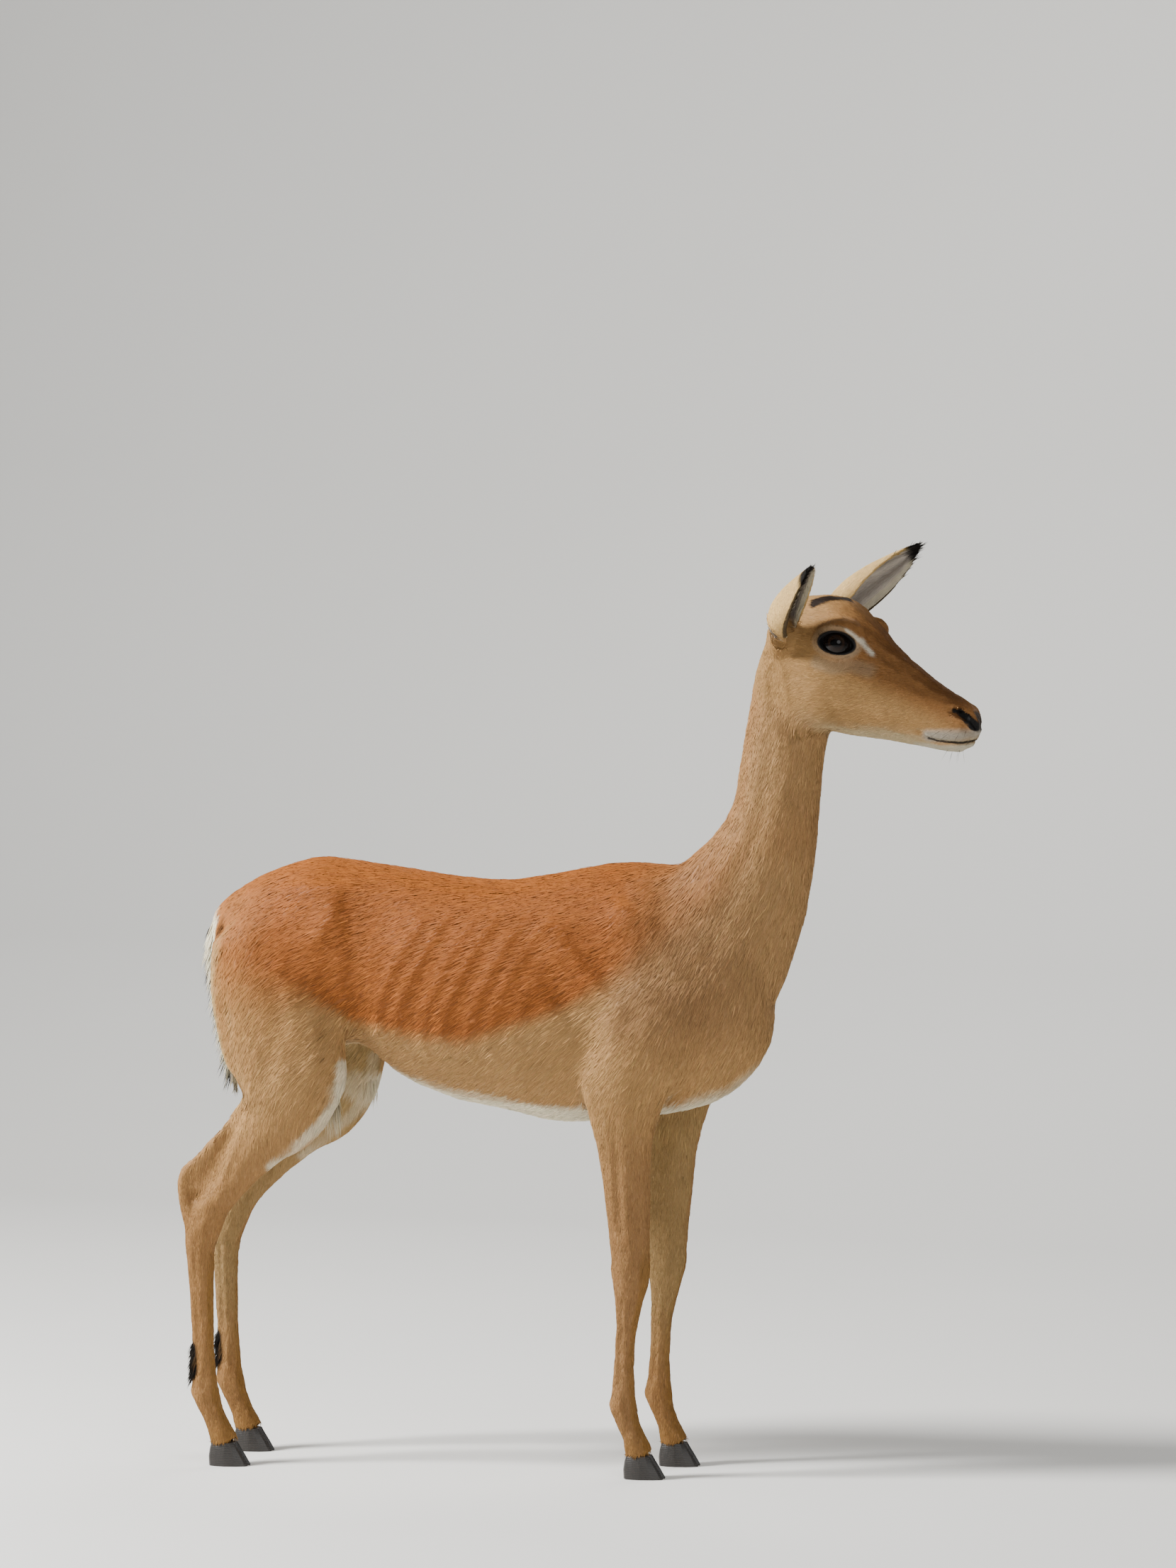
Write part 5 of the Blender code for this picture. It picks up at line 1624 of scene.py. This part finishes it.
chosen = np.repeat(np.arange(len(spots)), dice.poisson(wanted))
first, second = dice.random(len(chosen)), dice.random(len(chosen))
over = first + second > 1
first[over], second[over] = 1 - first[over], 1 - second[over]
corner = grow_points[corners[chosen]]
roots = corner[:, 0] + first[:, None] * (corner[:, 1] - corner[:, 0])
roots += second[:, None] * (corner[:, 2] - corner[:, 0])
root_normals = spot_normals[chosen]
print("roots:", len(roots))

# %% [markdown]
# A lock must follow the skin however it bends. So the ridge and the tip are first laid straight down
# the stream and then brought to the nearest point of the skin, which a tree of its triangles finds
# quickly, and lifted a little off it.

# %% From roots to tufts
RIDGE_AT = 0.42  # the ridge's highest point, as a share of the tuft's length
RIDGE_HIGH = 0.14  # its height over the skin, as a share of the tuft's breadth
SHOULDER_AT = 0.12  # its broadest place
SUNK = 0.0004  # how deep its root sits
FAR_SIDE = 0.3  # surfaces that agree less than this are two sides of a thin form
GROWING = BVHTree.FromPolygons(grow_points.tolist(), corners.tolist())


def turned(ways, normals, angles):
    """Directions turned about the normals."""
    return ways * np.cos(angles)[:, None] + np.cross(normals, ways) * np.sin(angles)[:, None]


def lying(roots, normals, ways, far, lift, free):
    """The places that lie a way down the stream from the roots, lifted off the skin. Free hair, and
    hair that would reach the far side of a thin form such as an ear, goes straight on."""
    straight = roots + ways * far[:, None]
    placed, found = np.empty_like(roots), np.empty_like(roots)
    for number, point in enumerate(straight):
        placed[number], found[number], _, _ = GROWING.find_nearest(point)
    free = free | (np.sum(found * normals, axis=1) < FAR_SIDE)
    placed += found * lift[:, None]
    placed[free] = (straight + normals * lift[:, None])[free]
    return placed


def tuft_points(roots, normals, ways, size, free):
    """The four points of each tuft: left and right shoulder, ridge and tip."""
    length, breadth, lift = size.T
    half = np.cross(normals, ways) * (breadth / 2)[:, None]
    base = roots - normals * SUNK + ways * (length * SHOULDER_AT)[:, None]
    ridge = lying(roots, normals, ways, length * RIDGE_AT, breadth * RIDGE_HIGH + lift * RIDGE_AT, free)
    tip = lying(roots, normals, ways, length, lift, free)
    level = base + (tip - base) * (RIDGE_AT - SHOULDER_AT) / (1 - SHOULDER_AT)
    short = breadth * RIDGE_HIGH - np.sum((ridge - level) * normals, axis=1)
    ridge += normals * np.maximum(short, 0)[:, None]
    return np.stack([base + half, base - half, ridge, tip], axis=1)


print("triangles that hair grows on:", len(corners))

# %% [markdown]
# A third of a million tufts can't be made one by one with operators. Their points go into one
# array, and each mesh takes its points and faces from it at once. Every tuft also carries its
# place along and across the lock with a number of its own, for the material to draw hairs with.

# %% Meshes of tufts
TUFT_FACES = np.array([(0, 2, 3), (2, 1, 3), (0, 1, 2), (1, 0, 3)])
LOCK_PLACES = np.array([(-1.0, SHOULDER_AT), (1.0, SHOULDER_AT), (0.0, RIDGE_AT), (0.0, 1.0)])
PATCH = 0.003  # breadth of a tuft's patch on the unwrap
PATCH_POINTS = np.array([(-0.5, -0.5), (0.5, -0.5), (0.0, 0.0), (0.0, 0.5)]) * PATCH


def store_vectors(mesh, name, rows):
    """Keeps three numbers for each point of a mesh."""
    attribute = mesh.attributes.new(name, "FLOAT_VECTOR", "POINT")
    attribute.data.foreach_set("vector", rows.astype(np.float32).ravel())


def tuft_mesh(name, tufts, unwrap):
    """One mesh of many tufts, with their colour, their shading and their patch on the unwrap."""
    count = len(tufts["points"])
    mesh = bpy.data.meshes.new(name)
    mesh.vertices.add(count * 4)
    mesh.vertices.foreach_set("co", tufts["points"].astype(np.float32).ravel())
    faces = (np.arange(count)[:, None, None] * 4 + TUFT_FACES[None]).astype(np.int32)
    mesh.loops.add(faces.size)
    mesh.loops.foreach_set("vertex_index", faces.ravel())
    mesh.polygons.add(count * 4)
    mesh.polygons.foreach_set("loop_start", np.arange(0, faces.size, 3, dtype=np.int32))
    mesh.update(calc_edges=True)
    mesh.shade_smooth()
    layer = mesh.uv_layers.new(name="OFBake")
    places = unwrap[:, None, :] + PATCH_POINTS[None]
    layer.data.foreach_set("uv", places.reshape(-1, 2)[faces.ravel()].astype(np.float32).ravel())
    number = np.broadcast_to(dice.random(count)[:, None, None], (count, 4, 1))
    lock = np.concatenate([np.broadcast_to(LOCK_PLACES, (count, 4, 2)), number], axis=2)
    store_vectors(mesh, "lock", lock.reshape(-1, 3))
    store_vectors(mesh, "custom_normal", tufts["normals"].reshape(-1, 3))
    thing = bpy.data.objects.new(name, mesh)
    store_colour(thing, tufts["colours"].reshape(-1, 3))
    bpy.context.scene.collection.objects.link(thing)
    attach(thing, "root")
    return thing


print("a tuft has", len(TUFT_FACES), "triangles")

# %% [markdown]
# No two locks are quite alike. Each differs a little in tone, tint, length, breadth and lie, by
# amounts drawn from the same seeded dice.

# %% Colour, shading and size of each tuft
# Painted shade and light: each tuft is darker at its root, where the locks over it would shade it, and
# lighter at its tip, which lies on top.
ROOT_PAINTED_SHADE, RIDGE_SHADE, TIP_PAINTED_LIGHT = 0.8, 1.0, 1.12
SHADES = np.array([ROOT_PAINTED_SHADE, ROOT_PAINTED_SHADE, RIDGE_SHADE, TIP_PAINTED_LIGHT])
TONE, TINT, DRIFT = 0.075, 0.02, 0.04  # how much locks differ in brightness and hue, and patches of them
LOCK_ROUND, TIP_ROUND = 0.3, 0.15  # how much the shoulders' normals lean outwards, and the tip's on
LEAN_ACROSS, LEAN_ALONG = (0, 0.1), (0.05, 0.06)  # mean and spread of a lock's own lean
STRAY = math.radians(6)  # how much locks stray from the stream
GUARD_SHARE, GUARD_SIZE = 0.125, (1.3, 1.45, 1.5)
SIZE_LOW, SIZE_HIGH = (0.75, 0.7, 0.4), (1.2, 1.2, 1.3)  # length, breadth and lift
LONG_LOW, LONG_HIGH, LONG_STRAY, LONG_OFF = 0.6, 1.15, 0.07, 0.1


def tuft_colours(roots, normals, ways, length, guard):
    """Each tuft's colour from the markings, with painted shade at its root and painted light at its tip,
    and unlike its neighbours'.
    """
    base = coat_colour(roots + ways * (length * 0.4)[:, None], normals)
    drift = np.sin(roots @ np.array([61.0, 37.0, 53.0])) * np.sin(roots @ np.array([-29.0, 71.0, 44.0]))
    tone = 1 + DRIFT * drift + dice.normal(0, TONE, len(roots)) * (1 + guard)
    tint = 1 + dice.normal(0, TINT, (len(roots), 3))
    return np.clip(base * tint * tone[:, None], 0.002, 0.95)[:, None, :] * SHADES[None, :, None]


def tuft_normals(normals, ways):
    """Shading normals: the skin's own, leaning outwards on the shoulders, so that a lock looks
    round, and leaning at random from lock to lock as combed hair does."""
    across = np.cross(normals, ways)
    leaning = normals + across * dice.normal(*LEAN_ACROSS, len(normals))[:, None]
    leaning += ways * dice.normal(*LEAN_ALONG, len(normals))[:, None]
    side, tip = across * LOCK_ROUND, ways * TIP_ROUND
    return unit(np.stack([leaning + side, leaning - side, leaning, leaning + tip], axis=1))


def tufts_at(roots, normals):
    """All that a coat piece needs to know of the tufts that grow from these roots."""
    ways, ear, share, across, hollow = stream(roots, normals)
    ways = turned(ways, normals, dice.normal(0, STRAY, len(roots)))
    size = hair_at(roots, normals, ear, hollow)[:, :3]
    guard = dice.random(len(roots)) < GUARD_SHARE
    size *= dice.uniform(SIZE_LOW, SIZE_HIGH, (len(roots), 3))
    size[guard] *= GUARD_SIZE
    free = roots[:, 2] < HOOF_TOP + size[:, 0] * 0.8
    for name, (_, _, long_size, long_way) in LONG_HAIR.items():
        here = in_long_hair(roots, name)
        count = int(here.sum())
        size[here] = np.array(long_size) / 1000 * dice.uniform(LONG_LOW, LONG_HIGH, (count, 1))
        way = np.array(long_way) + dice.normal(0, LONG_STRAY, (count, 3)) + LONG_OFF * normals[here]
        ways[here] = unit(way)
        free |= here
    colours = tuft_colours(roots, normals, ways, size[:, 0] * ~free, guard)
    return {
        "roots": roots, "ear": ear, "share": share, "across": across, "hollow": hollow,
        "points": tuft_points(roots, normals, ways, size, free),
        "normals": tuft_normals(normals, ways), "colours": colours, "length": size[:, 0],
    }


coat = tufts_at(roots, root_normals)
print("tufts:", len(coat["points"]), "longest", round(float(coat["length"].max()) * 1000, 1), "mm")

# %% [markdown]
# Each coat piece has a map of its own, and every tuft gets a small patch there, at the place its root
# has on an unwrap of the skin: the trunk is unrolled round its length, each leg and the neck round
# their own, the face round the muzzle.

# %% Pieces of the coat, and their unwraps
PIECES = (
    "coat_rump_right", "coat_rump_left", "coat_barrel_right", "coat_barrel_left",
    "coat_shoulder_right", "coat_shoulder_left", "coat_foreleg_right", "coat_foreleg_left",
    "coat_hindleg_right", "coat_hindleg_left", "coat_neck_right", "coat_neck_left",
    "coat_face_right", "coat_face_left", "coat_ear_right", "coat_ear_left",
)


def piece_of(points, ear):
    """The number of the coat piece that each root belongs to."""
    place = in_head(points)
    x, y, z = in_body(points).T
    left = np.where(y < 0, 0, 1)
    piece = left + np.where(x > -0.262, 2, 0) + np.where(x > -0.02, 2, 0)
    piece = np.where(z < LEG_SEAM, left + np.where(x > -0.2, 6, 8), piece)
    piece = np.where(z > 0.78, left + 10, piece)
    left = np.where(place[:, 1] < 0, 0, 1)
    piece = np.where(head_share_of(points) > 0.5, left + 12, piece)
    return np.where(ear > 0.02, left + 14, piece)


def unrolled(name, tufts):
    """Two numbers for each root: its place along and round the form that its piece covers."""
    place = in_head(tufts["roots"])
    x, y, z = in_body(tufts["roots"]).T
    if "leg" in name:
        levels = 41
        level = np.clip((z * 60).astype(int), 0, levels - 1)
        rows = np.maximum(np.bincount(level, minlength=levels), 1)
        middle_x = np.bincount(level, x, levels) / rows
        middle_y = np.bincount(level, y, levels) / rows
        return np.stack([z, np.arctan2(y - middle_y[level], x - middle_x[level])], axis=1)
    if "neck" in name:
        axis_x = 0.215 + (z - 0.75) * 0.25
        return np.stack([z, np.arctan2(np.abs(y), x - axis_x)], axis=1)
    if "face" in name:
        round_axis = np.arctan2(np.abs(place[:, 1]), place[:, 2] - 1.03 + 0.2 * place[:, 0])
        return np.stack([place[:, 0], round_axis], axis=1)
    if "ear" in name:
        return np.stack([tufts["share"], tufts["across"] + 2.2 * tufts["hollow"]], axis=1)
    return np.stack([x, np.arctan2(np.abs(y), z - 0.62)], axis=1)


def spread(places):
    """Places stretched to fill the map, clear of its edges by a patch."""
    low, high = places.min(axis=0), places.max(axis=0)
    return PATCH + (places - low) / (high - low) * (1 - 2 * PATCH)


numbers = piece_of(coat["roots"], coat["ear"])
COATS = []
for number, name in enumerate(PIECES):
    tufts = {key: rows[numbers == number] for key, rows in coat.items()}
    COATS.append(tuft_mesh(name, tufts, spread(unrolled(name, tufts))))
    print(name, len(COATS[-1].data.polygons), "triangles")

# %% [markdown]
# The upper lids carry stiff dark lashes and the lips and chin a few whiskers: slivers of the same
# make as the tufts, but thin, long and standing off the skin.

# %% Lashes and whiskers
LASH_ROW = (0.5, 0.0, 0.45)  # the row of the lids that they grow from
LASH_TURNS = (24, 158)  # degrees round the rim, from its front corner over the top
LASH_SIZE = (0.0085, 0.00055)  # length and breadth
WHISKER_SIZE = (0.021, 0.00045)
WHISKERS = (
    (0.24, 0.021, 0.961), (0.249, 0.02, 0.957), (0.256, 0.019, 0.962), (0.263, 0.018, 0.957),
    (0.271, 0.014, 0.962), (0.244, 0.013, 0.93), (0.253, 0.012, 0.928), (0.262, 0.009, 0.93),
)


def standing(root, normal, way, size):
    """One stiff hair: its four points, from a root just under the surface."""
    length, breadth = size
    across = np.cross(normal, way)
    across *= breadth / 2 / np.linalg.norm(across)
    foot = root - way * SUNK
    ridge = foot + way * length * RIDGE_AT + normal * breadth * 0.5
    return [foot + across, foot - across, ridge, foot + way * length]


hairs, leanings, marks = [], [], []
for side in SIDES:
    front, upper, aim = (np.array(axis) for axis in eye_axes(side))
    rim = LID_RINGS[side][LID_ROWS.index(LASH_ROW)]
    for column, root in enumerate(rim):
        turn = 360 * column / LID_COLUMNS
        if not LASH_TURNS[0] < turn < LASH_TURNS[1]:
            continue
        out = front * math.cos(math.radians(turn)) + upper * math.sin(math.radians(turn))
        way = unit(out * 0.8 + aim * 0.9 + dice.normal(0, 0.08, 3))
        long = LASH_SIZE[0] * dice.uniform(0.75, 1.1)
        hairs.append(standing(np.array(root), out, way, (long, LASH_SIZE[1])))
        leanings.append(unit(out + upper))
        marks.append((column, 0 if side < 0 else 1))
    for number, place in enumerate(WHISKERS):
        spot = Vector(place)
        spot.y *= side
        root, normal, _, _ = GROWING.find_nearest(HEAD @ spot)
        normal = np.array(normal)
        way = unit(normal - 0.35 * np.array(AHEAD) + np.array((0, 0, -0.35)) + dice.normal(0, 0.1, 3))
        upper = unit(np.cross(way, np.cross(normal, way)))
        hairs.append(standing(np.array(root), upper, way, WHISKER_SIZE))
        leanings.append(normal)
        marks.append((number * 10, 2 if side < 0 else 3))
stiff = {
    "points": np.array(hairs),
    "normals": np.array(leanings)[:, None].repeat(4, 1),
    "colours": np.tile(PELT["black"], (len(hairs), 4, 1)),
}
COATS.append(tuft_mesh("lashes_and_whiskers", stiff, spread(np.array(marks, dtype=float))))
print("lashes and whiskers:", len(hairs))

# %% [markdown]
# ## Skin and hair as materials
#
# Both take their colour from the stored markings. The hair's material draws fine lines along each
# lock, a little lighter and darker, and raises them with a bump, so that a lock reads as many hairs
# that lie together. Hair is a protein fibre: it scatters light, with a weak broad gloss along it
# and a faint sheen at grazing angles where many tips show. The skin under it is matt and mottled
# by hair bases a millimetre or two apart.

# %% Lying hair
HAIRS_ACROSS = 4.5  # lines across half a lock
HAIRS_ALONG, LOCKS_APART = 0.8, 60.0  # lines hardly change along a lock, and differ between locks
HAIR_LINE = (0.78, 1.16)  # how dark and how light its lines are


def grained(tree, shader, shades, dark_light, grain, smooth_rough, relief):
    """The stored markings made darker and lighter by one pattern, with gloss and a bump by another."""
    pelt = add_node(tree, "Attribute", attribute_name="pelt").outputs["Color"]
    span = {"Value": shades, "From Min": 0.3, "From Max": 0.7}
    span |= {"To Min": dark_light[0], "To Max": dark_light[1]}
    shade = add_node(tree, "MapRange", span).outputs["Result"]
    tint = add_node(tree, "VectorMath", {0: pelt, "Scale": shade}, operation="SCALE").outputs[0]
    gloss = {"Value": grain, "To Min": smooth_rough[0], "To Max": smooth_rough[1]}
    rough = add_node(tree, "MapRange", gloss).outputs["Result"]
    bump = add_node(tree, "Bump", {"Height": grain, **relief}).outputs["Normal"]
    for value, socket in ((tint, "Base Color"), (rough, "Roughness"), (bump, "Normal")):
        tree.links.new(value, shader.inputs[socket])


def hair_material():
    """Hair: its lines come from each lock's own places, its normal from whichever side is seen."""
    hair, tree, shader = material(
        "lying_hair", IOR=1.5, Specular_IOR_Level=0.1, Sheen_Weight=0.02, Sheen_Roughness=0.45,
        Sheen_Tint=(*colour("e8d2b4"), 1),
    )
    lock = add_node(tree, "Attribute", attribute_name="lock").outputs["Vector"]
    stretch = {0: lock, 1: (HAIRS_ACROSS, HAIRS_ALONG, LOCKS_APART)}
    along = add_node(tree, "VectorMath", stretch, operation="MULTIPLY").outputs[0]
    fine = {"Vector": along, "Scale": 1.0, "Detail": 1.5}
    lines = add_node(tree, "TexNoise", fine).outputs["Fac"]
    facing = add_node(tree, "NewGeometry").outputs
    pair = {0: facing["Normal"], 1: facing["True Normal"]}
    agree = add_node(tree, "VectorMath", pair, operation="DOT_PRODUCT").outputs["Value"]
    top = add_node(tree, "Math", {0: agree, 1: 0.0}, operation="GREATER_THAN").outputs[0]
    either = {0: top, 4: facing["True Normal"], 5: facing["Normal"]}
    normal = add_node(tree, "Mix", either, data_type="VECTOR").outputs[1]
    relief = {"Normal": normal, "Strength": 0.45, "Distance": 0.0003}
    grained(tree, shader, lines, HAIR_LINE, lines, (0.58, 0.76), relief)
    return hair


HAIR = hair_material()
print("hair material:", len(HAIR.node_tree.nodes), "nodes")

# %% Skin under the hair
MOTTLE_MM, BASE_MM = 7.0, 1.3  # breadth of a mottle, and the space between hair bases


def skin_material():
    """Skin under short hair: matt, mottled broadly, and finely rough."""
    pelt_skin, tree, shader = material("haired_skin", IOR=1.45, Specular_IOR_Level=0.25)
    place = add_node(tree, "TexCoord").outputs["Object"]
    broad = {"Vector": place, "Scale": 1000 / MOTTLE_MM, "Detail": 3.0}
    mottle = add_node(tree, "TexNoise", broad).outputs["Fac"]
    fine = {"Vector": place, "Scale": 1000 / BASE_MM, "Detail": 2.0}
    pores = add_node(tree, "TexNoise", fine).outputs["Fac"]
    relief = {"Strength": 0.5, "Distance": 0.0004}
    grained(tree, shader, mottle, (0.86, 1.04), pores, (0.5, 0.72), relief)
    return pelt_skin


PELT_SKIN = skin_material()
for thing in (skin, *LIDS):
    thing.data.materials.append(PELT_SKIN)
for thing in COATS:
    thing.data.materials.append(HAIR)
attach(skin, "root")
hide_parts(*FLESH)
print("pieces with hair:", len(COATS))
